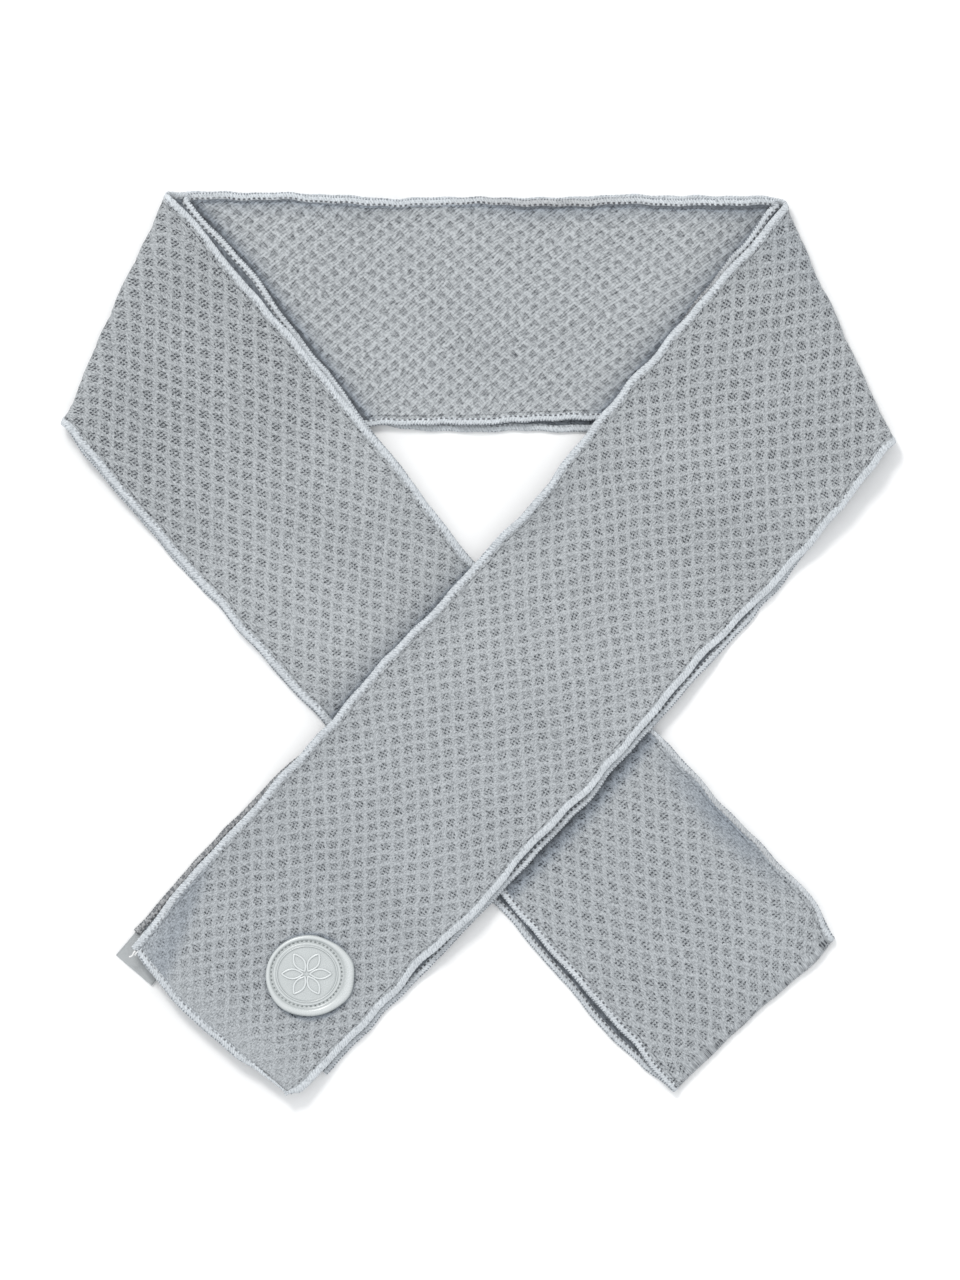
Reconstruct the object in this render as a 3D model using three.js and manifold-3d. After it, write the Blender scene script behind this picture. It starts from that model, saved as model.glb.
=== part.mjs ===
// A neck scarf of waffle mesh, lying flat with its two ends crossed.
// One long band is doubled over at the tail, so it has a front and a back layer.
// Both layers turn over together at two corner folds, and every cut edge is overlocked.
// Millimetres. The scarf lies on z = 0, x runs along the neck stretch and +y points away from the ends.

import * as THREE from 'three';
import { mergeVertices } from 'three/addons/utils/BufferGeometryUtils.js';
import Module from 'manifold-3d';

// Band
const bandWidth = 90; // over both hems
const clothThickness = 1;
const layerAir = 0.5; // between the two layers
const pieceGap = 0.3; // between pieces that touch
const neckLength = 266; // along the middle, between the axes of the corner folds
const badgeArmLength = 360.2; // along the middle, from the fold's axis to the front layer's end
const tailArmLength = 360.2; // along the middle, from the fold's axis to the doubled end
const backSetback = 11.5; // how much shorter the back layer is at the badge end
const foldSlant = THREE.MathUtils.degToRad(24.75); // of a corner fold, from straight across the band
const foldAir = 2.8; // inside a corner fold
const badgeArmSlip = 7; // how far an arm slides sideways as it turns over its fold
const tailArmSlip = 2.6;
const badgeFoldTuck = 1; // how far inside the front layer the back one turns, at the upper edge
const tailFoldTuck = 5.5;
const tailFoldBulge = 1.5; // of the tail's fold, halfway across

// Overlocked edges
const hemWidth = 3.2;
const hemThickness = 1.7;
const hemRise = 0.1; // of a hem above what the cloth lies on
const edgeBlend = 8; // over which the cloth rises to its hem

// Drape
const clearPlateau = 15; // how far an arm stays raised past what it crosses
const dropLength = 36; // over which it then comes down
const foldRelax = 45; // over which an arm settles from its fold
const fanLength = 90; // over which the section lines turn square to the arm
const badgeEndRise = 4; // the free end of the front layer curls up
const badgeEndCurl = 22; // over which it does

// Badge, moulded in one piece and sewn on
const badgeRadius = 16.2;
const badgeStretch = 1.04; // it is a little wider than tall
const badgeThickness = 2.2;
const rimWidth = 3;
const rimRounding = 0.8;
const grooveWidth = 1;
const grooveDepth = 0.5;
const grooveSlope = 0.2;
const faceDrop = 0.5; // of the face below the rim
const badgeFromEnd = 39.5;
const badgeFromMiddle = 16; // towards the lower edge
const ringRadius = 11; // of the raised ring round the rosette
const ringWidth = 0.8;
const petalCount = 6;
const petalFromMiddle = 1;
const petalLength = 8;
const petalWidth = 3.6;
const reliefLine = 0.55;
const reliefHeight = 0.3;

// Folded tag, sewn in at the back layer's end
const tagWidth = 18;
const tagLength = 11.6;
const tagThickness = 1.1;
const tagFromEdge = 1; // from the band's upper edge

// How finely the faceted solids are cut
const armSteps = 22;
const neckSteps = 13;
const bendSteps = 5;
const tailBendSteps = 4;
const acrossShares = [0, 0.09, 0.2, 0.5, 0.8, 0.91, 1];
const badgeSides = 48;

const halfWidth = bandWidth / 2;
const slantTan = Math.tan(foldSlant);
const clothSpacing = clothThickness + layerAir;
const hemSpacing = hemThickness + pieceGap + hemRise;
const hemMiddle = hemRise + hemThickness / 2;
const bendInside = (clothThickness + foldAir) / 2;
const stackHeight = hemMiddle + hemSpacing + hemThickness / 2; // of two layers with their hems
const crossHeight = stackHeight + pieceGap + hemRise;

// How far each layer's edges lie from the arm's middle line, as shares of half the width.
// at is a share of the stretch's length: from the fold in an arm, from the tail's fold in the neck.
const neckEdges = [
  { at: 0, frontUpper: 1.0, frontLower: 1.0, backUpper: 0.985, backLower: 0.99 },
  { at: 0.08, frontUpper: 1.01, frontLower: 1.0, backUpper: 1.005, backLower: 0.99 },
  { at: 0.17, frontUpper: 1.01, frontLower: 1.0, backUpper: 1.0, backLower: 0.99 },
  { at: 0.25, frontUpper: 0.985, frontLower: 1.0, backUpper: 0.97, backLower: 0.995 },
  { at: 0.33, frontUpper: 0.96, frontLower: 0.99, backUpper: 0.945, backLower: 0.995 },
  { at: 0.42, frontUpper: 0.965, frontLower: 1.01, backUpper: 0.955, backLower: 0.99 },
  { at: 0.5, frontUpper: 0.965, frontLower: 1.045, backUpper: 0.96, backLower: 0.98 },
  { at: 0.57, frontUpper: 0.955, frontLower: 1.035, backUpper: 0.945, backLower: 0.96 },
  { at: 0.65, frontUpper: 0.965, frontLower: 1.035, backUpper: 0.95, backLower: 0.945 },
  { at: 0.75, frontUpper: 0.98, frontLower: 1.035, backUpper: 0.955, backLower: 0.95 },
  { at: 0.85, frontUpper: 0.98, frontLower: 1.06, backUpper: 0.945, backLower: 1.0 },
  { at: 1, frontUpper: 0.96, frontLower: 1.13, backUpper: 0.94, backLower: 1.13 },
];
const badgeArmEdges = [
  { at: 0, frontUpper: 0.99, frontLower: 1.05, backUpper: 1.03, backLower: 1.05 },
  { at: 0.07, frontUpper: 1.0, frontLower: 1.06, backUpper: 1.02, backLower: 1.04 },
  { at: 0.14, frontUpper: 1.01, frontLower: 1.08, backUpper: 1.0, backLower: 1.05 },
  { at: 0.21, frontUpper: 1.01, frontLower: 1.075, backUpper: 1.0, backLower: 1.085 },
  { at: 0.265, frontUpper: 1.01, frontLower: 1.06, backUpper: 1.0, backLower: 1.105 },
  { at: 0.31, frontUpper: 0.995, frontLower: 1.02, backUpper: 0.985, backLower: 1.08 },
  { at: 0.345, frontUpper: 0.97, frontLower: 1.005, backUpper: 0.96, backLower: 1.065 },
  { at: 0.38, frontUpper: 0.99, frontLower: 1.005, backUpper: 0.98, backLower: 1.055 },
  { at: 0.48, frontUpper: 1.015, frontLower: 1.01, backUpper: 1.005, backLower: 1.035 },
  { at: 0.58, frontUpper: 1.06, frontLower: 0.985, backUpper: 1.05, backLower: 1.03 },
  { at: 0.64, frontUpper: 1.075, frontLower: 0.95, backUpper: 1.07, backLower: 1.0 },
  { at: 0.7, frontUpper: 1.07, frontLower: 0.95, backUpper: 1.075, backLower: 0.965 },
  { at: 0.745, frontUpper: 1.1, frontLower: 0.94, backUpper: 1.115, backLower: 0.955 },
  { at: 0.79, frontUpper: 1.105, frontLower: 0.88, backUpper: 1.14, backLower: 0.94 },
  { at: 0.85, frontUpper: 1.115, frontLower: 0.87, backUpper: 1.165, backLower: 0.915 },
  { at: 0.92, frontUpper: 1.13, frontLower: 0.845, backUpper: 1.18, backLower: 0.89 },
  { at: 1, frontUpper: 1.1, frontLower: 0.79, backUpper: 1.18, backLower: 0.86 },
];
const tailArmEdges = [
  { at: 0, frontUpper: 0.985, frontLower: 0.99, backUpper: 1.06, backLower: 0.99 },
  { at: 0.06, frontUpper: 0.975, frontLower: 0.995, backUpper: 1.08, backLower: 1.0 },
  { at: 0.11, frontUpper: 0.985, frontLower: 1.005, backUpper: 1.045, backLower: 1.02 },
  { at: 0.2, frontUpper: 0.975, frontLower: 1.005, backUpper: 1.015, backLower: 1.03 },
  { at: 0.31, frontUpper: 0.96, frontLower: 0.985, backUpper: 0.965, backLower: 1.0 },
  { at: 0.38, frontUpper: 0.93, frontLower: 0.98, backUpper: 0.93, backLower: 0.985 },
  { at: 0.44, frontUpper: 0.91, frontLower: 0.97, backUpper: 0.91, backLower: 0.98 },
  { at: 0.52, frontUpper: 0.96, frontLower: 0.92, backUpper: 0.96, backLower: 0.95 },
  { at: 0.6, frontUpper: 1.06, frontLower: 0.83, backUpper: 1.06, backLower: 0.89 },
  { at: 0.68, frontUpper: 1.14, frontLower: 0.765, backUpper: 1.14, backLower: 0.845 },
  { at: 0.76, frontUpper: 1.175, frontLower: 0.76, backUpper: 1.17, backLower: 0.845 },
  { at: 0.84, frontUpper: 1.205, frontLower: 0.76, backUpper: 1.2, backLower: 0.85 },
  { at: 0.9, frontUpper: 1.235, frontLower: 0.735, backUpper: 1.23, backLower: 0.845 },
  { at: 0.96, frontUpper: 1.24, frontLower: 0.735, backUpper: 1.235, backLower: 0.8 },
  { at: 1, frontUpper: 1.18, frontLower: 0.735, backUpper: 1.18, backLower: 0.735 },
];

// How far each end's outline runs past its length, as shares of half the width.
// at is the place across the band, from the lower edge at -1 to the upper edge at 1.
const badgeEndOutline = [
  { at: -1, front: 0.035, back: -0.065 },
  { at: -0.4, front: 0.055, back: -0.03 },
  { at: 0.3, front: 0.06, back: 0.02 },
  { at: 0.7, front: 0, back: 0.045 },
  { at: 1, front: -0.08, back: 0.065 },
];
const tailEndOutline = [
  { at: -1, front: 0.045, back: 0.045 },
  { at: 0.3, front: -0.01, back: -0.01 },
  { at: 0.8, front: -0.01, back: -0.01 },
  { at: 1, front: -0.07, back: -0.07 },
];

// Free edges of the layer on top that ripple upwards. at and length are shares of the
// stretch, depth is how far into the band the ripple runs as a share of half the width.
const ruffles = [
  { stretch: 'neck', edge: 1, at: 0.32, length: 0.3, depth: 0.35, rise: 2.4 },
  { stretch: 'neck', edge: 1, at: 0.62, length: 0.2, depth: 0.3, rise: 2 },
  { stretch: 'neck', edge: -1, at: 0.53, length: 0.2, depth: 0.25, rise: 1.2 },
  { stretch: 'badgeArm', edge: 1, at: 0.35, length: 0.14, depth: 0.35, rise: 2 },
  { stretch: 'badgeArm', edge: -1, at: 0.14, length: 0.26, depth: 0.45, rise: 2.2 },
  { stretch: 'badgeArm', edge: 1, at: 0.7, length: 0.1, depth: 0.3, rise: 1.4 },
  { stretch: 'tailArm', edge: -1, at: 0.86, length: 0.16, depth: 0.2, rise: 1.4 },
];

const cloth = new THREE.MeshStandardMaterial({ color: 0xa9b0b3, roughness: 0.95, metalness: 0 });
const thread = new THREE.MeshStandardMaterial({ color: 0xc6cfd4, roughness: 0.8, metalness: 0 });
const silicone = new THREE.MeshStandardMaterial({ color: 0xd3d9da, roughness: 0.4, metalness: 0 });
const satin = new THREE.MeshStandardMaterial({ color: 0xa6acac, roughness: 0.6, metalness: 0 });

const { lerp, smoothstep } = THREE.MathUtils;

// A table's columns as smooth curves over at.
function smoothColumns(rows) {
  const places = rows.map((row) => row.at);
  const names = Object.keys(rows[0]).filter((name) => name !== 'at');
  const curves = names.map((name) => {
    const values = rows.map((row) => row[name]);
    return [name, new THREE.CubicInterpolant(places, values, 1, [0])];
  });
  return Object.fromEntries(curves);
}

function read(curve, at) {
  return curve.evaluate(at)[0];
}

// An arm leaves its corner fold at the mirror image of the neck's own direction.
function makeArm(side, length, edges, outline) {
  const lean = Math.PI / 2 + foldSlant;
  return {
    side,
    length: { front: length, back: length },
    edges: smoothColumns(edges),
    outline: smoothColumns(outline),
    corner: new THREE.Vector2((side * neckLength) / 2, 0),
    along: new THREE.Vector2(side * Math.cos(2 * lean), -Math.sin(2 * lean - Math.PI)),
    across: new THREE.Vector2(side * Math.sin(-2 * lean + Math.PI), -Math.cos(2 * lean)),
  };
}

const neck = { edges: smoothColumns(neckEdges) };
const badgeArm = makeArm(1, badgeArmLength, badgeArmEdges, badgeEndOutline);
const tailArm = makeArm(-1, tailArmLength, tailArmEdges, tailEndOutline);
badgeArm.length.back -= backSetback;
Object.assign(badgeArm, { name: 'badgeArm', slip: badgeArmSlip, tuck: badgeFoldTuck, bulge: 0 });
Object.assign(tailArm, { name: 'tailArm', slip: tailArmSlip, tuck: tailFoldTuck, bulge: tailFoldBulge });

// Distances of the two edges from the middle line, at a share of an arm or of the neck.
function edgesAt(stretch, layer, atLower, atUpper) {
  const slip = stretch.slip ?? 0;
  return {
    lower: halfWidth * read(stretch.edges[`${layer}Lower`], atLower) + slip,
    upper: halfWidth * read(stretch.edges[`${layer}Upper`], atUpper) - slip,
  };
}

// 0 in the body of the cloth, 1 where either layer has its hem. toEnd is the way left to a cut end.
function hemShare(y, edges, toEnd = Infinity) {
  const lower = Math.min(...edges.map((edge) => edge.lower));
  const upper = Math.min(...edges.map((edge) => edge.upper));
  const inside = Math.min(y < 0 ? lower + y : upper - y, toEnd);
  return 1 - smoothstep(inside, hemWidth, hemWidth + edgeBlend);
}

function lowLayer(hem) {
  return lerp(clothThickness / 2, hemMiddle, hem);
}

function spacing(hem) {
  return lerp(clothSpacing, hemSpacing, hem);
}

// How much the free edge of the upper layer stands up.
function ruffleRise(name, at, y, edges) {
  let rise = 0;
  for (const row of ruffles) {
    if (row.stretch !== name) continue;
    const along = Math.abs(at - row.at) / (row.length / 2);
    if (along >= 1) continue;
    const fromEdge = row.edge > 0 ? edges.upper - y : edges.lower + y;
    const into = 1 - smoothstep(fromEdge, 0, row.depth * halfWidth);
    rise += row.rise * into * 0.5 * (1 + Math.cos(Math.PI * along));
  }
  return rise;
}

// How far a point lies outside an arm's outline, negative inside it.
function outsideArm(arm, plan) {
  const from = plan.clone().sub(arm.corner);
  const at = from.dot(arm.along) / arm.length.front;
  const y = from.dot(arm.across);
  const front = edgesAt(arm, 'front', at, at);
  const back = edgesAt(arm, 'back', at, at);
  const upper = Math.max(front.upper, back.upper);
  const lower = Math.max(front.lower, back.lower);
  return Math.max(y - upper, -y - lower);
}

function raisedNear(distance) {
  return 1 - smoothstep(distance, clearPlateau, clearPlateau + dropLength);
}

// How high an arm's lower layer is carried by what it crosses.
function carried(arm, plan) {
  const neckLower = Math.max(...neckEdges.map((row) => Math.max(row.frontLower, row.backLower)));
  let height = crossHeight * raisedNear(-plan.y - neckLower * halfWidth);
  if (arm === badgeArm) height += crossHeight * raisedNear(outsideArm(tailArm, plan));
  return height;
}

// How far a layer's fold lies inside the axis of its corner, along the neck.
function tuckAt(arm, layer, y) {
  return layer === 'back' ? arm.tuck * smoothstep(y, 0, halfWidth) : 0;
}

function foldX(arm, layer, y) {
  return arm.side * (neckLength / 2 - y * slantTan - tuckAt(arm, layer, y));
}

// One line across a layer of the neck. In the neck the front layer is the lower one.
function neckStation(layer, at) {
  const edges = edgesAt(neck, layer, at, at);
  const other = edgesAt(neck, layer === 'front' ? 'back' : 'front', at, at);
  const point = (y) => {
    const hem = hemShare(y, [edges, other]);
    let z = lowLayer(hem);
    if (layer === 'back') z += spacing(hem) + ruffleRise('neck', at, y, edges);
    return new THREE.Vector3(lerp(foldX(tailArm, layer, y), foldX(badgeArm, layer, y), at), y, z);
  };
  return { edges, other, point };
}

// One line across a layer of an arm, at a share of the arm's length.
function armStation(arm, layer, at) {
  const length = arm.length[layer];
  const square = smoothstep(at * length, 0, fanLength);
  const ending = smoothstep(at, 0.85, 1);
  const slant = slantTan * (1 - square);
  const edgeAt = (y) => (at * length - y * slant) / arm.length.front;
  const edges = edgesAt(arm, layer, edgeAt(-halfWidth), edgeAt(halfWidth));
  const otherLayer = layer === 'front' ? 'back' : 'front';
  const other = edgesAt(arm, otherLayer, edgeAt(-halfWidth), edgeAt(halfWidth));
  const point = (y) => {
    const outline = read(arm.outline[layer], y < 0 ? y / edges.lower : y / edges.upper);
    const settled = smoothstep(at * length, 0, foldRelax);
    const tuck = tuckAt(arm, layer, y) * (1 - settled);
    const x = at * length - y * slant + tuck + ending * outline * halfWidth;
    const plan = arm.corner.clone();
    plan.addScaledVector(arm.along, x).addScaledVector(arm.across, y);
    const toEnd = arm === badgeArm ? arm.length.back - x : Infinity;
    const hem = hemShare(y, [edges, other], toEnd);
    const fold = spacing(hem) + 2 * bendInside - crossHeight;
    let z = lowLayer(hem) + carried(arm, plan);
    z += fold * (1 - settled);
    if (layer === 'front') z += spacing(hem) + ruffleRise(arm.name, at, y, edges);
    if (layer === 'front' && arm === badgeArm) {
      z += badgeEndRise * smoothstep(x, length - badgeEndCurl, length);
    }
    return new THREE.Vector3(plan.x, plan.y, z);
  };
  return { edges, other, point };
}

// One line across a layer as it turns over a corner fold: turn is 0 at the neck and 1 at the arm.
function bendStation(arm, layer, turn) {
  const from = neckStation(layer, arm.side > 0 ? 1 : 0);
  const to = armStation(arm, layer, 0);
  const between = (name) => ({
    lower: lerp(from[name].lower, to[name].lower, turn),
    upper: lerp(from[name].upper, to[name].upper, turn),
  });
  const edges = between('edges');
  const other = between('other');
  const point = (y) => {
    const start = from.point(y);
    const end = to.point(y);
    const bulge = arm.bulge * (1 - (y / halfWidth) ** 2);
    const out = ((end.z - start.z) / 2 + bulge) * Math.sin(Math.PI * turn);
    return new THREE.Vector3(
      lerp(start.x, end.x, turn) + out * arm.side * Math.cos(foldSlant),
      lerp(start.y, end.y, turn) + out * Math.sin(foldSlant),
      lerp(start.z, end.z, (1 - Math.cos(Math.PI * turn)) / 2),
    );
  };
  return { edges, other, point };
}

// The doubled end, where the front layer turns under and becomes the back one.
function tailBendStation(turn) {
  const front = armStation(tailArm, 'front', 1);
  const back = armStation(tailArm, 'back', 1);
  const point = (y) => {
    const top = front.point(y);
    const bottom = back.point(y);
    const radius = (top.z - bottom.z) / 2;
    const out = radius * Math.sin(Math.PI * turn);
    return new THREE.Vector3(
      top.x + out * tailArm.along.x,
      top.y + out * tailArm.along.y,
      bottom.z + radius * (1 + Math.cos(Math.PI * turn)),
    );
  };
  return { edges: front.edges, other: front.edges, point };
}

// The shares of an arm where its sections lie, from the free end to the fold.
function armShares(arm, layer) {
  const length = arm.length[layer];
  const steps = (reach) => {
    return Array.from({ length: armSteps - 1 }, (_, i) => (reach / length) * (1 - i / armSteps));
  };
  if (arm === tailArm) return steps(length);
  const curl = [0, hemWidth + pieceGap, hemWidth + edgeBlend / 2, hemWidth + edgeBlend];
  return [...curl.map((fromEnd) => 1 - fromEnd / length), ...steps(length - badgeEndCurl)];
}

// The stations of one layer, from the badge end to the tail end.
function layerStations(layer) {
  const stations = armShares(badgeArm, layer).map((at) => armStation(badgeArm, layer, at));
  for (let i = 0; i < bendSteps; i++) {
    stations.push(bendStation(badgeArm, layer, 1 - i / bendSteps));
  }
  for (let i = 0; i < neckSteps; i++) stations.push(neckStation(layer, 1 - i / neckSteps));
  for (let i = 0; i < bendSteps; i++) stations.push(bendStation(tailArm, layer, i / bendSteps));
  stations.push(armStation(tailArm, layer, 0));
  for (const at of armShares(tailArm, layer).reverse()) {
    stations.push(armStation(tailArm, layer, at));
  }
  return stations;
}

// The stations of the whole doubled band, from the badge end round to the back layer's end.
function bandStations() {
  const stations = layerStations('front');
  for (let i = 1; i < tailBendSteps; i++) stations.push(tailBendStation(i / tailBendSteps));
  return [...stations, ...layerStations('back').reverse()];
}

// A closed skin through loops of equal length. A ladder of faces closes each end.
function loft(loops) {
  const count = loops[0].length;
  const faces = [];
  const quad = (a, b, c, d) => faces.push([a, b, c], [a, c, d]);
  for (let i = 0; i + 1 < loops.length; i++) {
    for (let k = 0; k < count; k++) {
      const next = (k + 1) % count;
      const row = i * count;
      quad(row + k, row + next, row + count + next, row + count + k);
    }
  }
  const last = (loops.length - 1) * count;
  for (let k = 0; k + 1 < count / 2; k++) {
    quad(k, count - 1 - k, count - 2 - k, k + 1);
    quad(last + k, last + k + 1, last + count - 2 - k, last + count - 1 - k);
  }
  const geometry = new THREE.BufferGeometry().setFromPoints(loops.flat());
  geometry.setIndex(faces.flat());
  if (signedVolume(geometry) < 0) geometry.setIndex(faces.map((face) => face.reverse()).flat());
  geometry.computeVertexNormals();
  return geometry;
}

function signedVolume(geometry) {
  const place = geometry.getAttribute('position');
  const index = geometry.getIndex();
  const [a, b, c] = [0, 1, 2].map(() => new THREE.Vector3());
  let volume = 0;
  for (let i = 0; i < index.count; i += 3) {
    a.fromBufferAttribute(place, index.getX(i));
    b.fromBufferAttribute(place, index.getX(i + 1));
    c.fromBufferAttribute(place, index.getX(i + 2));
    volume += a.dot(b.cross(c)) / 6;
  }
  return volume;
}

// The middle of the cloth and of both hems at every station, with the directions there.
// Column 0 is the lower hem, the last column is the upper hem, and the cloth lies between.
function layOut(stations) {
  const grid = stations.map(({ edges, point }) => {
    const cloth = hemWidth + pieceGap;
    const low = -edges.lower + cloth;
    const high = edges.upper - cloth;
    const places = acrossShares.map((share) => lerp(low, high, share));
    const hem = hemWidth / 2;
    return [-edges.lower + hem, ...places, edges.upper - hem].map(point);
  });
  return grid.map((row, i) => {
    const before = grid[Math.max(i - 1, 0)];
    const after = grid[Math.min(i + 1, grid.length - 1)];
    return row.map((middle, j) => {
      const along = after[j].clone().sub(before[j]).normalize();
      const left = row[Math.max(j - 1, 0)];
      const right = row[Math.min(j + 1, row.length - 1)];
      const across = right.clone().sub(left).normalize();
      const normal = along.clone().cross(across).normalize();
      const square = normal.clone().cross(along).normalize();
      return { middle, along, square, normal };
    });
  });
}

// A hem's section: flattened, with six sides.
function hemLoop({ middle, square, normal }) {
  return [
    [0.5, 0],
    [0.28, 0.5],
    [-0.28, 0.5],
    [-0.5, 0],
    [-0.28, -0.5],
    [0.28, -0.5],
  ].map(([wide, high]) =>
    middle
      .clone()
      .addScaledVector(square, wide * hemWidth)
      .addScaledVector(normal, high * hemThickness),
  );
}

function bandGeometry(rows) {
  const loops = rows.slice(1, -1).map((row) => {
    const cells = row.slice(1, -1);
    const face = (sign) =>
      cells.map(({ middle, normal }) =>
        middle.clone().addScaledVector(normal, (sign * clothThickness) / 2),
      );
    return [...face(1), ...face(-1).reverse()];
  });
  return loft(loops);
}

function sideHemGeometry(rows, column) {
  return loft(rows.map((row) => hemLoop(row.at(column))));
}

// The overlocked end of one layer at the badge end, between the two side hems.
function endHemGeometry(layer) {
  const length = badgeArm.length[layer];
  const middle = armStation(badgeArm, layer, 1 - hemWidth / 2 / length);
  const tip = armStation(badgeArm, layer, 1);
  const reach = hemWidth + pieceGap;
  const cells = acrossShares.map((share) => {
    const y = lerp(-middle.edges.lower + reach, middle.edges.upper - reach, share);
    const centre = middle.point(y);
    const square = tip.point(y).sub(centre).normalize();
    const across = middle.point(y + 1).sub(middle.point(y - 1));
    const normal = square.clone().cross(across).normalize();
    return { middle: centre, square, normal };
  });
  return loft(cells.map(hemLoop));
}

// Leaf-shaped outline of one petal of the badge's rosette, pointing along +x.
function petalShape(inset) {
  const start = petalFromMiddle + inset;
  const end = petalFromMiddle + petalLength - inset;
  const side = petalWidth / 2 - inset;
  const shape = new THREE.Shape();
  shape.moveTo(start, 0);
  shape.quadraticCurveTo((start + end) / 2, -2 * side, end, 0);
  shape.quadraticCurveTo((start + end) / 2, 2 * side, start, 0);
  return shape;
}

function badgeGeometry(wasm) {
  const face = badgeThickness - faceDrop;
  const groove = badgeRadius - rimWidth;
  const profile = [
    [0, 0],
    [badgeRadius - rimRounding, 0],
    [badgeRadius, rimRounding],
    [badgeRadius, badgeThickness - rimRounding],
    [badgeRadius - rimRounding / 4, badgeThickness - rimRounding / 4],
    [badgeRadius - rimWidth / 2, badgeThickness],
    [groove, face],
    [groove - grooveSlope, face - grooveDepth],
    [groove - grooveWidth, face - grooveDepth],
    [groove - grooveWidth - grooveSlope, face],
    [ringRadius + ringWidth / 2, face],
    [ringRadius, face + reliefHeight],
    [ringRadius - ringWidth / 2, face],
    [0, face],
  ].map(([radius, height]) => new THREE.Vector2(radius, height));
  const disc = new THREE.LatheGeometry(profile, badgeSides).rotateX(Math.PI / 2);
  let badge = solidOf(wasm, disc);
  for (let i = 0; i < petalCount; i++) {
    const petal = petalShape(0);
    petal.holes.push(petalShape(reliefLine));
    const relief = new THREE.ExtrudeGeometry(petal, {
      depth: 2 * reliefHeight,
      bevelEnabled: false,
      curveSegments: 6,
    });
    relief.translate(0, 0, face - reliefHeight).rotateZ((i * 2 * Math.PI) / petalCount);
    badge = badge.add(solidOf(wasm, relief));
  }
  return geometryOf(badge);
}

// Shared corners are merged and faces that collapse, such as those on a lathe's axis, are dropped.
function solidOf(wasm, geometry) {
  const bare = geometry.clone();
  bare.deleteAttribute('normal');
  bare.deleteAttribute('uv');
  const merged = mergeVertices(bare, 1e-4);
  const corners = merged.getIndex().array;
  const faces = [];
  for (let i = 0; i < corners.length; i += 3) {
    const [a, b, c] = corners.slice(i, i + 3);
    if (a !== b && b !== c && c !== a) faces.push(a, b, c);
  }
  const mesh = new wasm.Mesh({
    numProp: 3,
    vertProperties: merged.getAttribute('position').array,
    triVerts: new Uint32Array(faces),
  });
  return new wasm.Manifold(mesh);
}

function geometryOf(solid) {
  const mesh = solid.getMesh();
  const geometry = new THREE.BufferGeometry();
  geometry.setAttribute('position', new THREE.BufferAttribute(mesh.vertProperties, 3));
  geometry.setIndex(new THREE.BufferAttribute(mesh.triVerts, 1));
  geometry.computeVertexNormals();
  return geometry;
}

// A ribbon folded flat: its section has a rounded nose where it is folded.
function tagGeometry() {
  const nose = tagThickness / 2;
  const shape = new THREE.Shape();
  shape.moveTo(0, 0);
  shape.lineTo(tagLength - nose, 0);
  shape.absarc(tagLength - nose, nose, nose, -Math.PI / 2, Math.PI / 2, false);
  shape.lineTo(0, tagThickness);
  const geometry = new THREE.ExtrudeGeometry(shape, {
    depth: tagWidth,
    bevelEnabled: false,
    curveSegments: 6,
  });
  return geometry.rotateX(Math.PI / 2).translate(0, tagWidth, 0);
}

function namedMesh(name, geometry, material) {
  const mesh = new THREE.Mesh(geometry, material);
  mesh.name = name;
  return mesh;
}

// A place on top of an arm's layer, with +x towards the free end, +y towards the lower edge
// and +z straight out of the cloth. It is level and clear of the cloth within a reach around it.
function placeOn(arm, layer, x, y, reach) {
  const length = arm.length[layer];
  const at = (dx, dy) => armStation(arm, layer, (x + dx) / length).point(y + dy);
  const xAxis = at(reach, 0).sub(at(-reach, 0)).normalize();
  const toLower = at(0, -reach).sub(at(0, reach));
  const zAxis = xAxis.clone().cross(toLower).normalize();
  const yAxis = zAxis.clone().cross(xAxis);
  const middle = at(0, 0);
  let height = 0;
  for (let turn = 0; turn < 2 * Math.PI; turn += Math.PI / 8) {
    for (const share of [0.5, 1]) {
      const rim = at(share * reach * Math.cos(turn), share * reach * Math.sin(turn));
      height = Math.max(height, rim.sub(middle).dot(zAxis));
    }
  }
  const group = new THREE.Group();
  group.setRotationFromMatrix(new THREE.Matrix4().makeBasis(xAxis, yAxis, zAxis));
  group.position.copy(middle).addScaledVector(zAxis, height + clothThickness / 2);
  return group;
}

const wasm = await Module();
wasm.setup();

const rows = layOut(bandStations());
const scarf = new THREE.Group();
scarf.add(
  namedMesh('mesh_band', bandGeometry(rows), cloth),
  namedMesh('upper_edge_hem', sideHemGeometry(rows, -1), thread),
  namedMesh('lower_edge_hem', sideHemGeometry(rows, 0), thread),
  namedMesh('badge_end_hem', endHemGeometry('front'), thread),
  namedMesh('tag_end_hem', endHemGeometry('back'), thread),
);

const badgeX = badgeArmLength - badgeFromEnd;
const badgePlace = placeOn(badgeArm, 'front', badgeX, -badgeFromMiddle, badgeRadius * badgeStretch);
const badge = namedMesh('badge', badgeGeometry(wasm), silicone);
badge.position.z = pieceGap;
badge.rotation.z = -Math.atan2(badgeArm.along.y, badgeArm.along.x);
badge.scale.set(badgeStretch, 1 / badgeStretch, 1);
badgePlace.add(badge);
scarf.add(badgePlace);

// The tag starts where the back layer's end hem stops and lies on what the scarf lies on.
const backEnd = armStation(badgeArm, 'back', 1);
const tagY = backEnd.edges.upper - tagFromEdge;
const tagX = Math.max(
  ...[tagY, tagY - tagWidth / 2, tagY - tagWidth].map((y) => {
    const share = y / backEnd.edges.upper;
    return badgeArm.length.back + halfWidth * read(badgeArm.outline.back, share);
  }),
);
const tag = namedMesh('side_tag', tagGeometry(), satin);
const tagCorner = badgeArm.corner.clone();
tagCorner.addScaledVector(badgeArm.along, tagX + pieceGap).addScaledVector(badgeArm.across, tagY);
tag.position.set(tagCorner.x, tagCorner.y, 0);
tag.rotation.z = Math.atan2(badgeArm.along.y, badgeArm.along.x);
scarf.add(tag);

export default scarf;
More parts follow.
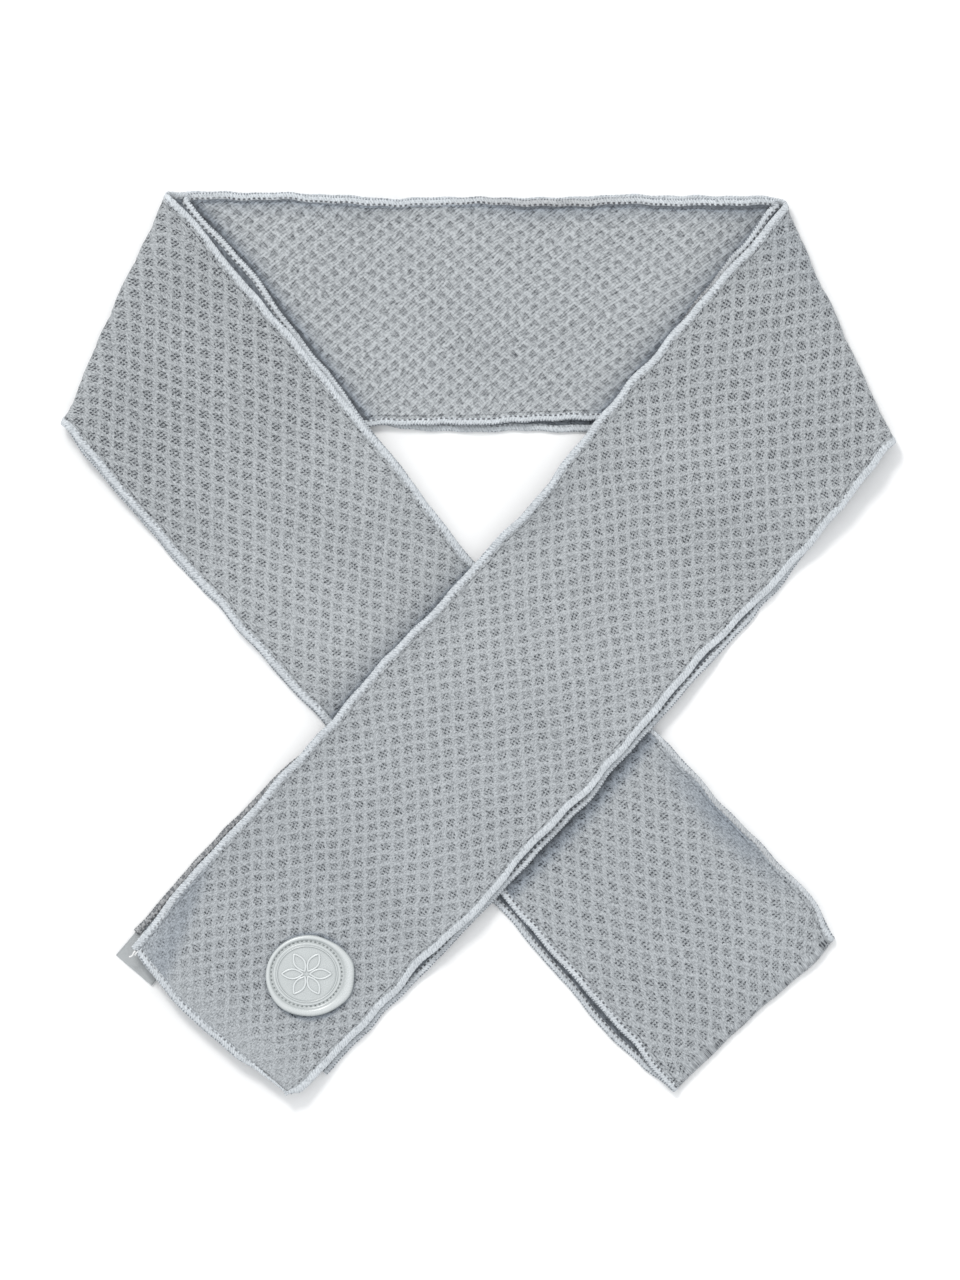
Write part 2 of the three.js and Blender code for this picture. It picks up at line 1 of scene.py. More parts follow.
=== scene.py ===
# Mesh scarf, lying flat with its two ends crossed: cloth, overlocked edges, badge and tag.
# Metres throughout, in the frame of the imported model.

import math

import bpy
import numpy as np
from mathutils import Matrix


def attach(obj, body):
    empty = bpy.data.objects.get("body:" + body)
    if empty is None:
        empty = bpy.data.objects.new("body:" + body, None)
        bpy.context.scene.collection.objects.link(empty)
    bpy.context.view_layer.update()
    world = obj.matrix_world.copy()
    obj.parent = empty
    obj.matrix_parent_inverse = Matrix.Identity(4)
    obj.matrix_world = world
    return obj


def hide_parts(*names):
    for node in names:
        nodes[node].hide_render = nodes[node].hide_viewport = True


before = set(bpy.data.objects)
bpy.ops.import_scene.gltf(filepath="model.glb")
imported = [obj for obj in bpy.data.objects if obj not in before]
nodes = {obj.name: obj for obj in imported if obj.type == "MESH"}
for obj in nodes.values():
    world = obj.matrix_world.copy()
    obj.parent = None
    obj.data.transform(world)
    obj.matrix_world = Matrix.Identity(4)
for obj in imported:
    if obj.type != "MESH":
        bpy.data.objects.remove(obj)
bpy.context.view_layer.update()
bpy.ops.object.select_all(action="DESELECT")
up = np.array([0, 0, 1.0])

# Shader sums, written as Python


def mathNode(operation, swapped=False):
    def work(self, other):
        return self.sum(operation, *((other, self) if swapped else (self, other)))

    return work


class Link:
    __add__ = __radd__ = mathNode("ADD")
    __sub__, __rsub__ = mathNode("SUBTRACT"), mathNode("SUBTRACT", swapped=True)
    __mul__ = __rmul__ = mathNode("MULTIPLY")
    __truediv__ = mathNode("DIVIDE")
    larger = mathNode("MAXIMUM")

    def __init__(self, finish, socket):
        self.finish, self.socket = finish, socket

    def sum(self, operation, *values):
        return self.finish.node("Math", {"operation": operation}, dict(enumerate(values)))

    def __abs__(self):
        return self.sum("ABSOLUTE", self)

    def wave(self):  # 1 at whole numbers, -1 halfway between them
        return self.sum("COSINE", self * (2 * math.pi))

    def near(self):  # how far the nearest whole number is, up to 0.5
        return self.sum("PINGPONG", self, 0.5)

    def past(self):  # how far past the nearest whole number, -0.5 to 0.5
        return self.sum("WRAP", self, 0.5, -0.5)

    def under(self, low, high):  # 1 below low, 0 above high
        ends = {"Value": self, "From Min": low, "From Max": high, "To Min": 1, "To Max": 0}
        return self.finish.node("MapRange", {"interpolation_type": "SMOOTHSTEP"}, ends)


class Finish:
    def __init__(self, name):
        self.material = bpy.data.materials.new(name)
        self.material.use_nodes = True
        self.tree = self.material.node_tree
        self.tree.nodes.clear()

    def node(self, kind, settings=None, sockets=None, out=0):
        node = self.tree.nodes.new("ShaderNode" + kind)
        for key, value in (settings or {}).items():
            setattr(node, key, value)
        for key, value in (sockets or {}).items():
            socket = node.inputs[key]
            if isinstance(value, Link):
                self.tree.links.new(value.socket, socket)
            elif isinstance(value, tuple) and socket.type == "RGBA":
                socket.default_value = (*value, 1)
            else:
                socket.default_value = value
        return Link(self, node.outputs[out]) if node.outputs else None

    def blend(self, share, low, high):  # two colours
        return self.node("Mix", {"data_type": "RGBA"}, {0: share, 6: low, 7: high}, out=2)

    def noise(self, place, size, detail=2.0):
        return self.node("TexNoise", {}, {"Vector": place, "Scale": 1 / size, "Detail": detail})

    def along(self):  # metres along and across the cloth or thread, from its own map
        flat = self.node("TexCoord", out=2)
        parts = self.node("SeparateXYZ", {}, {0: flat})
        return flat, parts, Link(self, parts.socket.node.outputs[1])

    def spot(self):
        return self.node("TexCoord", out=3)

    def given(self, name):  # a number that each point of the piece was given
        return self.node("Attribute", {"attribute_name": name}, out=2)

    def times(self, colour, share):  # a colour made lighter or darker
        return self.node("VectorMath", {"operation": "SCALE"}, {0: colour, "Scale": share})

    def tinted(self, colour, tint):
        return self.node("VectorMath", {"operation": "MULTIPLY"}, {0: colour, 1: tint})

    def place(self, x, y):
        return self.node("CombineXYZ", {}, {0: x, 1: y})

    def bump(self, height):  # height in metres
        return self.node("Bump", {}, {"Height": height, "Distance": 1.0, "Strength": 1.0})

    def skin(self, sockets):
        surface = self.node("BsdfPrincipled", {}, sockets)
        self.node("OutputMaterial", {}, {"Surface": surface})
        return self.material


# Small steps that most pieces share


def unit(vectors):
    return vectors / np.linalg.norm(vectors, axis=-1, keepdims=True)


def shareOf(value, low, high):
    return np.clip((value - low) / (high - low), 0, 1)


def ramp(value, low, high):
    share = shareOf(value, low, high)
    return share * share * (3 - 2 * share)


def hump(distance, width):
    return np.exp(-((distance / width) ** 2))


def addObject(name, data):
    thing = bpy.data.objects.new(name, data)
    bpy.context.scene.collection.objects.link(thing)
    return thing


def pick(*pieces):  # these alone are selected, and the first one is active
    bpy.ops.object.select_all(action="DESELECT")
    for piece in pieces:
        piece.select_set(True)
    bpy.context.view_layer.objects.active = pieces[0]


def turnOutwards():  # the faces of the piece in edit mode, and leave that mode
    bpy.ops.mesh.select_all(action="SELECT")
    bpy.ops.mesh.normals_make_consistent(inside=False)
    bpy.ops.object.mode_set(mode="OBJECT")


def pointsOf(mesh):
    places = np.empty(len(mesh.vertices) * 3, np.float32)
    mesh.vertices.foreach_get("co", places)
    return places.reshape(-1, 3)


def movePoints(mesh, points):
    mesh.vertices.foreach_set("co", points.astype(np.float32).ravel())
    mesh.update()


def cornersOf(mesh):  # the point at each corner of each face
    corners = np.empty(len(mesh.loops), np.int32)
    mesh.loops.foreach_get("vertex_index", corners)
    return corners


def giveEach(mesh, name, values):  # one number for each point
    mesh.attributes.new(name, "FLOAT", "POINT").data.foreach_set("value", values)


def gridFaces(rows, wide, start=0):
    k, t = np.mgrid[0:rows - 1, 0:wide - 1]
    base = (start + k * wide + t).ravel()
    return np.stack([base, base + 1, base + wide + 1, base + wide], axis=1).tolist()


def roundCurve(name, radius):
    data = bpy.data.curves.new(name, "CURVE")
    data.dimensions = "3D"
    data.bevel_depth = radius
    data.bevel_resolution = 2
    return data


def addSpline(data, kind, places):
    spline = data.splines.new(kind)
    spline.points.add(len(places) - 1)
    for point, place in zip(spline.points, places):
        point.co = (*place, 1)
    return spline


# Camera, floor and light

photo = {
    "imageSize": (960, 1280),
    "metresPerPixel": 0.000383,
    "originPixel": (474.6, 310),  # where the middle of the neck stretch shows
    "cameraHeight": 3.2,
}


def addCamera():
    wide, tall = photo["imageSize"]
    scale = photo["metresPerPixel"]
    x = (wide / 2 - photo["originPixel"][0]) * scale
    y = (photo["originPixel"][1] - tall / 2) * scale
    data = bpy.data.cameras.new("photoCamera")
    data.sensor_fit = "VERTICAL"
    data.angle = 2 * math.atan(tall * scale / 2 / photo["cameraHeight"])
    data.clip_end = 20
    camera = addObject("photoCamera", data)
    camera.location = (x, y, photo["cameraHeight"])
    bpy.context.scene.camera = camera
    print("camera over", round(x, 4), round(y, 4))


studio = {
    "floorSize": 8,
    "floorColour": (0.93, 0.93, 0.93),
    "skyColour": (0.97, 0.985, 1),
    "skyStrength": 0.975,
    "lampPlace": (-0.8, 1.5, 2.1),
    "lampSize": 0.7,
    "lampPower": 30.5,
    "lampColour": (1, 0.985, 0.965),
}


def addStudio():
    bpy.ops.mesh.primitive_plane_add(size=studio["floorSize"], location=(0, 0, 0))
    floor = bpy.context.active_object
    floor.name = "studioFloor"
    colour = {"Base Color": studio["floorColour"], "Roughness": 0.9, "Specular IOR Level": 0.1}
    floor.data.materials.append(Finish("paleFloor").skin(colour))
    sky = bpy.data.worlds.new("softSky")
    sky.use_nodes = True
    light = sky.node_tree.nodes["Background"]
    light.inputs["Color"].default_value = (*studio["skyColour"], 1)
    light.inputs["Strength"].default_value = studio["skyStrength"]
    bpy.context.scene.world = sky
    data = bpy.data.lights.new("softLamp", "AREA")
    data.shape = "DISK"
    data.size = studio["lampSize"]
    data.energy = studio["lampPower"]
    data.color = studio["lampColour"]
    lamp = addObject("softLamp", data)
    lamp.location = studio["lampPlace"]
    aim = bpy.context.scene.camera.location.copy()
    aim.z = 0
    lamp.rotation_euler = (aim - lamp.location).to_track_quat("-Z", "Y").to_euler()
    bpy.context.scene.view_settings.view_transform = "Standard"
    print("floor and light set")


# Shapes read back from the solids

arm = {
    "along": np.array([-0.6494, -0.7604, 0]),  # the badge arm, towards its free end
    "across": np.array([-0.7604, 0.6494, 0]),  # and towards its upper edge
    "corner": np.array([0.133, 0, 0]),
    "endHeight": 0.0035,  # the front layer's free end lies above this
    "endReach": 0.24,  # and this far from the middle
    "span": (-0.03, 0.38),  # from before its fold to past its end
    "end": 0.36,
}
mirrored = np.array([-1, 1, 1])  # the tail arm is the badge arm's mirror image
# rings of the doubled band where its stretches begin
stretches = {
    "frontBend": 25, "frontNeck": 27, "frontTail": 44, "backTail": 71, "pastTail": 74,
    "backNeck": 98, "backArm": 115,
}
badgeArmRings = (slice(0, 25), slice(118, 143))  # of the front and the back layer
tailArmRings = (slice(48, 70), slice(73, 95))


def walkRings(node, heading, first, turn, reach=-1.0, above=-1.0):
    # the rings of points of a lofted solid, from the capped end that faces heading
    mesh = nodes[node].data
    points, index = np.unique(pointsOf(mesh).round(7), axis=0, return_inverse=True)
    faces = index.reshape(-1)[cornersOf(mesh)].reshape(-1, 3)
    a, b, c = (points[faces[:, k]] for k in range(3))
    facing = unit(np.cross(b - a, c - a)) @ heading
    middle = (a + b + c) / 3
    cap = faces[(facing > 0.7) & (middle @ heading > reach) & (middle[:, 2] > above)]
    sides = [frozenset((face[k], face[k - 1])) for face in cap.tolist() for k in range(3)]
    rim = {}
    for one, two in (pair for pair in sides if sides.count(pair) == 1):
        rim.setdefault(one, []).append(two)
        rim.setdefault(two, []).append(one)
    start = max(rim, key=lambda k: points[k] @ first)
    ring = [start, max(rim[start], key=lambda k: points[k] @ turn)]
    while len(ring) < len(rim):
        ring.append(next(k for k in rim[ring[-1]] if k != ring[-2]))
    links = {}
    for face in faces.tolist():
        for k in face:
            links.setdefault(k, set()).update(face)
    rings, used, step = [ring], set(ring), None
    while True:
        beyond = [links[k] - used for k in ring]
        if not any(beyond):
            break
        ways = {}
        for way in (-1, 1) if step is None else (step,):
            ways[way] = [min(beyond[k] & beyond[(k + way) % len(ring)]) for k in range(len(ring))]
        if step is None:
            step = min(ways, key=lambda way: np.linalg.norm(points[ways[way]] - points[ring]))
        ring = ways[step]
        used.update(ring)
        rings.append(ring)
    print(node, "has", len(rings), "rings of", len(ring))
    return points[np.array(rings)]


def glide(values, steps, at):
    # a smooth curve through rows of values that never swings past them
    slope = np.diff(values, axis=0) / steps
    bent = np.zeros_like(values)
    bent[0], bent[-1] = slope[0], slope[-1]
    before, after = slope[:-1], slope[1:]
    one, two = 2 * steps[1:] + steps[:-1], steps[1:] + 2 * steps[:-1]
    same = before * after > 0
    safeBefore, safeAfter = np.where(same, before, 1), np.where(same, after, 1)
    bent[1:-1] = np.where(same, (one + two) / (one / safeBefore + two / safeAfter), 0)
    low = np.clip(np.floor(at).astype(int), 0, len(values) - 2)
    f = (at - low).reshape(-1, *[1] * (values.ndim - 1))
    h = steps[low]
    start = (1 + 2 * f) * (1 - f) ** 2 * values[low] + f * (1 - f) ** 2 * h * bent[low]
    return start + f * f * (3 - 2 * f) * values[low + 1] + f * f * (f - 1) * h * bent[low + 1]


def makePiece(name, points, faces, places, material, flatFrom=None, given=None):
    # places holds each point's u and v in metres; faces from flatFrom on are shaded flat
    mesh = bpy.data.meshes.new(name)
    mesh.from_pydata(points.tolist(), [], faces)
    mesh.polygons.foreach_set("use_smooth", np.arange(len(faces)) < (flatFrom or len(faces)))
    layer = mesh.uv_layers.new(name="clothMap")
    layer.data.foreach_set("uv", places[cornersOf(mesh)].astype(np.float32).ravel())
    for key, values in (given or {}).items():
        giveEach(mesh, key, values)
    mesh.update()
    return dress(addObject(name, mesh), material)


def dress(piece, material):
    piece.data.materials.append(material)
    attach(piece, "root")
    return piece


def readArm(ropes, layers, flip):
    # how far both layers of an arm reach to either side of its axis
    along, across = arm["along"] * flip, arm["across"] * flip
    grid = np.linspace(*arm["span"], 300)
    sides = []
    for sign in (1, -1):
        reach = np.full(len(grid), -1.0)
        for rope in ropes:
            for layer in layers:
                away = rope[layer] - arm["corner"] * flip
                s, t = (away @ along).mean(axis=1), (away @ across * sign).max(axis=1)
                order = np.argsort(s)
                reach = np.maximum(reach, np.interp(grid, s[order], t[order]))
        sides.append(reach)
    return flip, grid, sides[0], sides[1]


def outsideArm(place, edges):
    flip, grid, upper, lower = edges
    away = place - arm["corner"] * flip
    s, t = away @ (arm["along"] * flip), away @ (arm["across"] * flip)
    return np.maximum(t - np.interp(s, grid, upper), -t - np.interp(s, grid, lower))


drape = {
    "edgeRise": 0.0011,  # of the loose ripples along free edges
    "bodyRise": 0.0005,
    "clear": 0.016,  # kept flat beside whatever lies on top
    "swayEast": 0.0002,
    "swayNorth": 0.00017,
}


def sway(place):
    # the small wander of everything that lies there, in the plane of the table
    x, y = place[..., 0] * 1000, place[..., 1] * 1000
    east = np.sin(0.19 * x - 0.12 * y + 0.3) + np.sin(0.09 * x + 0.33 * y + 1.9)
    north = np.sin(0.24 * x + 0.11 * y + 2.2) + np.sin(0.11 * x - 0.27 * y) + np.sin(0.52 * x + 1)
    flat = [drape["swayEast"] * east, drape["swayNorth"] * north, np.zeros_like(east)]
    return np.stack(flat, axis=-1)


def onTail(at):  # whether rings belong to the tail arm's upper side
    return (at > stretches["frontTail"]) & (at < stretches["pastTail"])


def ripple(place, at, facing, edge):
    # how far the top layer stands up: facing is 1 where its outside looks up, edge 1 at the hems
    x, y = place[..., 0] * 1000, place[..., 1] * 1000
    tight = np.sin(0.31 * x + 0.13 * y + 0.4) + np.sin(0.17 * x - 0.29 * y + 2.0)
    slow = np.sin(0.083 * x - 0.061 * y + 1.1) + np.sin(0.052 * x + 0.097 * y)
    rise = drape["edgeRise"] * edge * np.clip(0.12 + 0.3 * tight + 0.25 * slow, 0, None)
    rise = rise + drape["bodyRise"] * (0.5 + 0.25 * slow) * (1 - 0.5 * edge)
    under = ramp(outsideArm(place, badgeArmEdges), 0, drape["clear"])
    underBoth = under * ramp(outsideArm(place, tailArmEdges), 0, drape["clear"])
    free = np.where(at >= stretches["pastTail"], underBoth, np.where(onTail(at), under, 1))
    return rise * free * np.clip(facing, 0, 1) ** 4


# Waffle mesh: one strip, doubled over at the tail

cloth = {
    "thickness": 0.001,
    "width": 0.0834,  # between the hems
    "underHem": 0.0015,  # how far it runs into a hem
    "sample": 0.00113,
    "innerRows": 8,  # the inner face has one row of points for so many outside
    "innerColumns": 6,
    "cellAlong": 0.0072,  # a diamond, along the strip
    "cellAcross": 0.0061,
    "pitDepth": 0.00032,
    "endSunk": 0.0002,  # the edges dip, clear of the hems' tops
    "sideSunk": 0.0001,
    "insideShade": 1.5,
    "tuckUnder": 73,  # the ring under the tail where the front piece ends
    "light": (0.492, 0.516, 0.533),
    "dark": (0.06, 0.066, 0.074),
    "shadeTint": (0.66, 0.7, 0.76),
    "rowPitch": 0.00118,  # of the short holes, along the strip
    "dashPitch": 0.00125,
    "holedTone": 0.757,
    "plainTone": 0.73,
}
columnShares = np.array([0, 0.09, 0.2, 0.5, 0.8, 0.91, 1])
# metres from the badge end along each layer: how its diamonds lean and how long they are
frontGrain = [
    (0, 0.03, 7.2), (0.06, 0.04, 7.2), (0.1, 0.09, 7.3), (0.15, 0.15, 7.2), (0.2, 0.17, 7.1),
    (0.25, 0.08, 7.0), (0.3, 0.05, 7.2), (0.34, -0.05, 8.0), (0.5, 0, 7.2), (0.67, -0.17, 8.2),
    (0.71, -0.21, 8.6), (0.755, -0.2, 7.8), (0.79, -0.16, 7.2), (0.92, -0.14, 8.4), (1.0, -0.03, 8.4),
    (1.1, 0, 8.4),
]
backGrain = [
    (0.9, 0, 7.2), (1.4, 0.11, 7.9), (1.47, 0.06, 7.3), (1.53, -0.04, 7.2), (1.58, -0.1, 7.7),
    (1.7, 0, 7.2), (2.1, 0, 7.2),
]


def clothFinish(name, holed):
    shade = Finish(name)
    flat, u, v = shade.along()
    painted, litFadeAndOpening = shade.given("shade"), shade.given("litFadeAndOpening")
    grain = shade.noise(flat, 0.001) - 0.5
    patch = shade.noise(flat, 0.035) - 0.5
    uneven = shade.noise(flat, 0.006) - 0.5
    loose = shade.noise(flat, 0.0024, 1) - 0.5
    # how much the diamonds' sides waver
    slow, quick = (0.0016, 0.0016) if holed else (0.0003, 0.0004)
    a, b = (u + loose * slow) / cloth["cellAlong"], (v + grain * quick) / cloth["cellAcross"]
    p, q = a + b, a - b
    if holed:
        ring = p.near().larger(q.near())
        speck = shade.noise(shade.place(u * 0.7, v * 1.25), 0.00062, 1) - 0.5
        pit = (ring + grain * 0.25).under(0.17, 0.41)
        row = ((u + v * 0.1) / cloth["rowPitch"] + grain * 0.7).near().under(0.1, 0.34)
        dash = (v / cloth["dashPitch"] - 0.3 * u / cloth["rowPitch"] + grain).near()
        holesAndTopShade = ring.under(0.26, 0.39) * row * dash.under(0.18, 0.44)
        holesAndTopShade = holesAndTopShade * (0.78 + 4.0 * grain + 1.5 * uneven)
        # darker pits and holes: partly painted shade in the recesses and through the holes
        tone = cloth["holedTone"] - pit * (0.12 + 0.25 * uneven) - holesAndTopShade * 0.64
    else:
        rising = shade.noise(shade.place(p * 6.5, q * 2.2), 1, 1)
        falling = shade.noise(shade.place(p * 2.2 + 40, q * 6.5), 1, 1)
        stroke = (q * 4 + grain * 1.2).wave() * 0.075 + (p * 4 + grain * 1.2).wave() * 0.055
        speck = rising * 0.42 + falling * 0.75 - 0.585 + stroke
        level, rise = p.past() + q.past(), p.past() - q.past()
        ring = abs(level) * 0.6 + abs(rise) * 0.42  # narrow diamonds, taller than wide
        top = (rise + loose * 0.3).under(-0.45, 0.4)  # 0 at a diamond's top
        # painted shade on the upper side of each recessed diamond: pits darker towards the top, and a
        # dark line along the top edges
        pit = ring.under(0.26, 0.33) * (1.1 - top * 0.4 + 0.8 * uneven)
        line = (ring.under(0.28, 0.33) - ring.under(0.2, 0.27)) * (0.8 + 1.2 * grain)
        holesAndTopShade = line * (1 - top)
        strand = (ring.under(0.35, 0.39) - ring.under(0.31, 0.35)) * (0.5 + 2.0 * speck)
        tone = cloth["plainTone"] - pit * 0.22 - holesAndTopShade * 0.17 + strand * 0.1
    tone = tone + grain * 0.5 + speck * 1.5 + patch * 0.16 + uneven * 0.12
    edge = abs(v) - cloth["width"] / 2
    # a thin painted shadow line where the cloth runs under the hem
    tone = tone - abs(edge + 0.0003).under(0.0001, 0.0005) * 0.25
    height = (0 - pit) * 0.00014 - holesAndTopShade * 0.00014 + grain * 0.00016 + speck * 0.00016
    if holed:  # pits fade and the tone lifts above 0, painted light in part where the cloth curls; pulled open and darker below 0, by the folds
        tone = tone + (pit * 0.1 + holesAndTopShade * 0.5) * litFadeAndOpening.larger(0)
        opened = (0 - litFadeAndOpening).larger(0)
        tone = tone - (0.13 + holesAndTopShade * 0.42) * opened
    colour = shade.blend(tone, cloth["dark"], cloth["light"])
    # painted shade from the shade attribute: cool up to 1, then towards black
    cool = shade.tinted(colour, cloth["shadeTint"])
    colour = shade.blend(painted, colour, cool)
    return shade.skin({
        "Base Color": shade.blend(painted - 1, colour, cloth["dark"]),
        "Roughness": 0.92,
        "Specular IOR Level": 0.25,
        "Sheen Weight": 0.12,
        "Sheen Roughness": 0.5,
        "Normal": shade.bump(height),
    })


# strength and reach of each painted shade beside an edge; freeEnd and the two pulls set how far the
# fade and the opening reach
shadow = {
    "overBack": [(0.4, 0.009), (1.0, 0.0018)],
    "besideTail": [(0.75, 0.0044)],
    "neckCurl": [(0.85, 0.0075)],
    "neckHemShadow": [(1.0, 0.0013)],
    "overTail": [(0.35, 0.009), (0.95, 0.0014)],
    "hanging": [(0.7, 0.002)],
    "badge": [(1.15, 0.0024)],
    "freeEnd": [(0.8, 0.014), (0.6, 0.022)],
    "badgeArmPull": [(0.5, 0.18)],
    "tailArmPull": [(0.95, 0.145)],
    "tailRoll": [(1.0, 0.013)],
}
# painted shade on the front layer: beside the hanging edge, around the badge, at the curled corner and
# by the fold
paintedShade = {
    "hangingReach": (0.0025, 0.0085),
    "slope": (0.1, 0.22, 0.12),  # painted shade, darker towards the arms' lower ends: from, to, how much
    "roll": (0.297, 0.03, 1.3),  # where the tail's upper edge turns down into painted shade, width, strength of the fade there
    "badgeRadius": 0.0157,
    "badgeShift": (0.0004, -0.0006),
    "curl": (0.327, 0.038),  # a point of the curled corner, along and across
    "curlAcross": (0.329, 0.944),
    "curlWidths": (0.0042, 0.013),  # to either side
    "curlFrom": (0.288, 0.332),
    "curlStrength": 0.72,
    "bend": (-0.012, 0.01, 0.25),
    "most": 1.7,
}


def beside(distance, kind):
    return sum(strength * (1 - ramp(distance, 0, reach)) for strength, reach in shadow[kind])


def backShade(place, v):
    # painted shade under both arms, along the neck's curled edge and in a line under its top hem
    x, y = place[..., 0], place[..., 1]
    tailGap = outsideArm(place, tailArmEdges)
    near = np.minimum(outsideArm(place, badgeArmEdges), tailGap)
    dark = beside(near, "overBack") + beside(tailGap, "besideTail")
    wavy = 0.5 + 0.5 * np.sin(46 * x - 0.4) * np.cos(21 * x + 0.3)
    toEdge = np.where(y > 0, cloth["width"] / 2 - abs(v), 1)
    line = 0.85 + 0.4 * wavy + 0.45 * ramp(x, 0.03, 0.11)
    curled = wavy * beside(toEdge, "neckCurl") + line * beside(toEdge, "neckHemShadow")
    return np.clip(np.maximum(dark, curled), 0, paintedShade["most"]), np.zeros_like(x)


def frontShade(place, v, at):
    # painted shade, cool up to 1 and towards black past it, and the fade of the pits where the cloth
    # curls, painted light in part, or the cloth pulled open below 0
    away, other = place - arm["corner"], place * mirrored - arm["corner"]
    fromFold, inward = away @ arm["along"], away @ arm["across"]
    fromOtherFold = other @ arm["along"]
    gap, toEdge = outsideArm(place, badgeArmEdges), cloth["width"] / 2 - abs(v)
    onBadgeArm = at < stretches["frontBend"]
    hanging = 1 - ramp(gap, *paintedShade["hangingReach"]) + beside(gap, "hanging")
    dark = np.where(inward < 0, hanging, beside(gap, "overTail"))
    low, high, strength = paintedShade["slope"]
    dark = np.where(onTail(at), dark, 0) + strength * ramp(-place[..., 1], low, high)
    litFadeAndOpening = np.where(onBadgeArm, beside(arm["end"] - fromFold, "freeEnd"), 0)

    middle, width, strength = paintedShade["roll"]
    rolled = hump(fromOtherFold - middle, width) * (other @ arm["across"] > 0) * onTail(at)
    rolled = rolled * beside(toEdge, "tailRoll")
    dark, litFadeAndOpening = np.maximum(dark, rolled), np.maximum(litFadeAndOpening, strength * rolled)

    toBadge = place[..., :2] - badgeMiddle[:2] - paintedShade["badgeShift"]
    toBadge = np.hypot(toBadge[..., 0], toBadge[..., 1]) - paintedShade["badgeRadius"]
    dark = np.where(onBadgeArm, np.maximum(dark, beside(toBadge, "badge")), dark)

    (along, across), (one, two) = paintedShade["curl"], paintedShade["curlAcross"]
    diagonal = (fromFold - along) * one + (inward - across) * two
    curl = hump(diagonal, np.where(diagonal < 0, *paintedShade["curlWidths"]))
    curl = np.where(onBadgeArm, paintedShade["curlStrength"] * curl * ramp(fromFold, *paintedShade["curlFrom"]), 0)
    dark, litFadeAndOpening = np.maximum(dark, curl), np.maximum(litFadeAndOpening, curl)

    opened = np.where(at < stretches["frontNeck"], beside(fromFold, "badgeArmPull"), 0)
    opened += np.where(at > stretches["frontTail"], beside(fromOtherFold, "tailArmPull"), 0)
    litFadeAndOpening = litFadeAndOpening - opened * (1 - np.clip(litFadeAndOpening, 0, 1))
    middle, width, strength = paintedShade["bend"]
    bend = strength * hump(fromFold - middle, width) * (at < stretches["frontNeck"] + 5)
    dark = np.maximum(dark, bend)
    return np.clip(dark, 0, paintedShade["most"]), np.clip(litFadeAndOpening, -0.8, 0.9)


def clothLattice():
    first, turn = 0.5 * up - arm["across"], arm["across"]
    rings = walkRings("mesh_band", arm["along"], first, turn, arm["endReach"], arm["endHeight"])
    lower = rings[:, ::-1]
    middle, outward = (rings[:, :7] + lower[:, :7]) / 2, unit(rings[:, :7] - lower[:, :7])
    first = middle[0] + unit(middle[0] - middle[1]) * cloth["underHem"]
    last = middle[-1] + unit(middle[-1] - middle[-2]) * cloth["underHem"]
    return np.concatenate([[first], middle, [last]]), outward


def runAlong(lattice, chords):
    # metres along the strip at every point, level across it wherever the strip lies flat
    length = np.concatenate([np.zeros_like(chords[:1]), np.cumsum(chords, axis=0)])[..., 0]
    run = length.copy()
    middle = lattice[:, 3]
    ways = unit(np.diff(middle, axis=0))
    axes = np.array([arm["along"], arm["along"] * mirrored, [1, 0, 0]])
    fit = ways @ axes.T
    flat = abs(fit).max(axis=1) > 0.985
    best = abs(fit).argmax(axis=1)
    firm = set()
    for i in np.flatnonzero(flat).tolist():
        axis = axes[best[i]] * np.sign(fit[i, best[i]])
        for k in (i, i + 1):
            run[k] = run[k, 3] + (lattice[k] - middle[k]) @ axis
            firm.add(k)
    firm = sorted(firm)
    for one, two in zip(firm[:-1], firm[1:]):
        for k in range(one + 1, two):
            share = (length[k] - length[one]) / (length[two] - length[one])
            run[k] = run[one] + share * (run[two] - run[one])
    return run[..., None]


def shellFaces(count, cells, keep, columns):
    # outer face, inner face with the kept rows and columns alone, and the rims between them
    wide, few = cells + 1, len(columns)
    start = (count + 1) * wide
    end = start + (len(keep) - 1) * few
    faces = gridFaces(count + 1, wide)
    faces += [[a, d, c, b] for a, b, c, d in gridFaces(len(keep), few, start)]
    flatFrom = len(faces)
    for i in range(len(keep) - 1):
        near = range(keep[i], keep[i + 1] + 1)
        inner = start + i * few
        faces.append([n * wide for n in near] + [inner + few, inner])
        faces.append([n * wide + cells for n in near[::-1]] + [inner + few - 1, inner + 2 * few - 1])
    for i in range(few - 1):
        near = range(columns[i], columns[i + 1] + 1)
        faces.append([*near[::-1], start + i, start + i + 1])
        faces.append([count * wide + c for c in near] + [end + i + 1, end + i])
    return faces, flatFrom


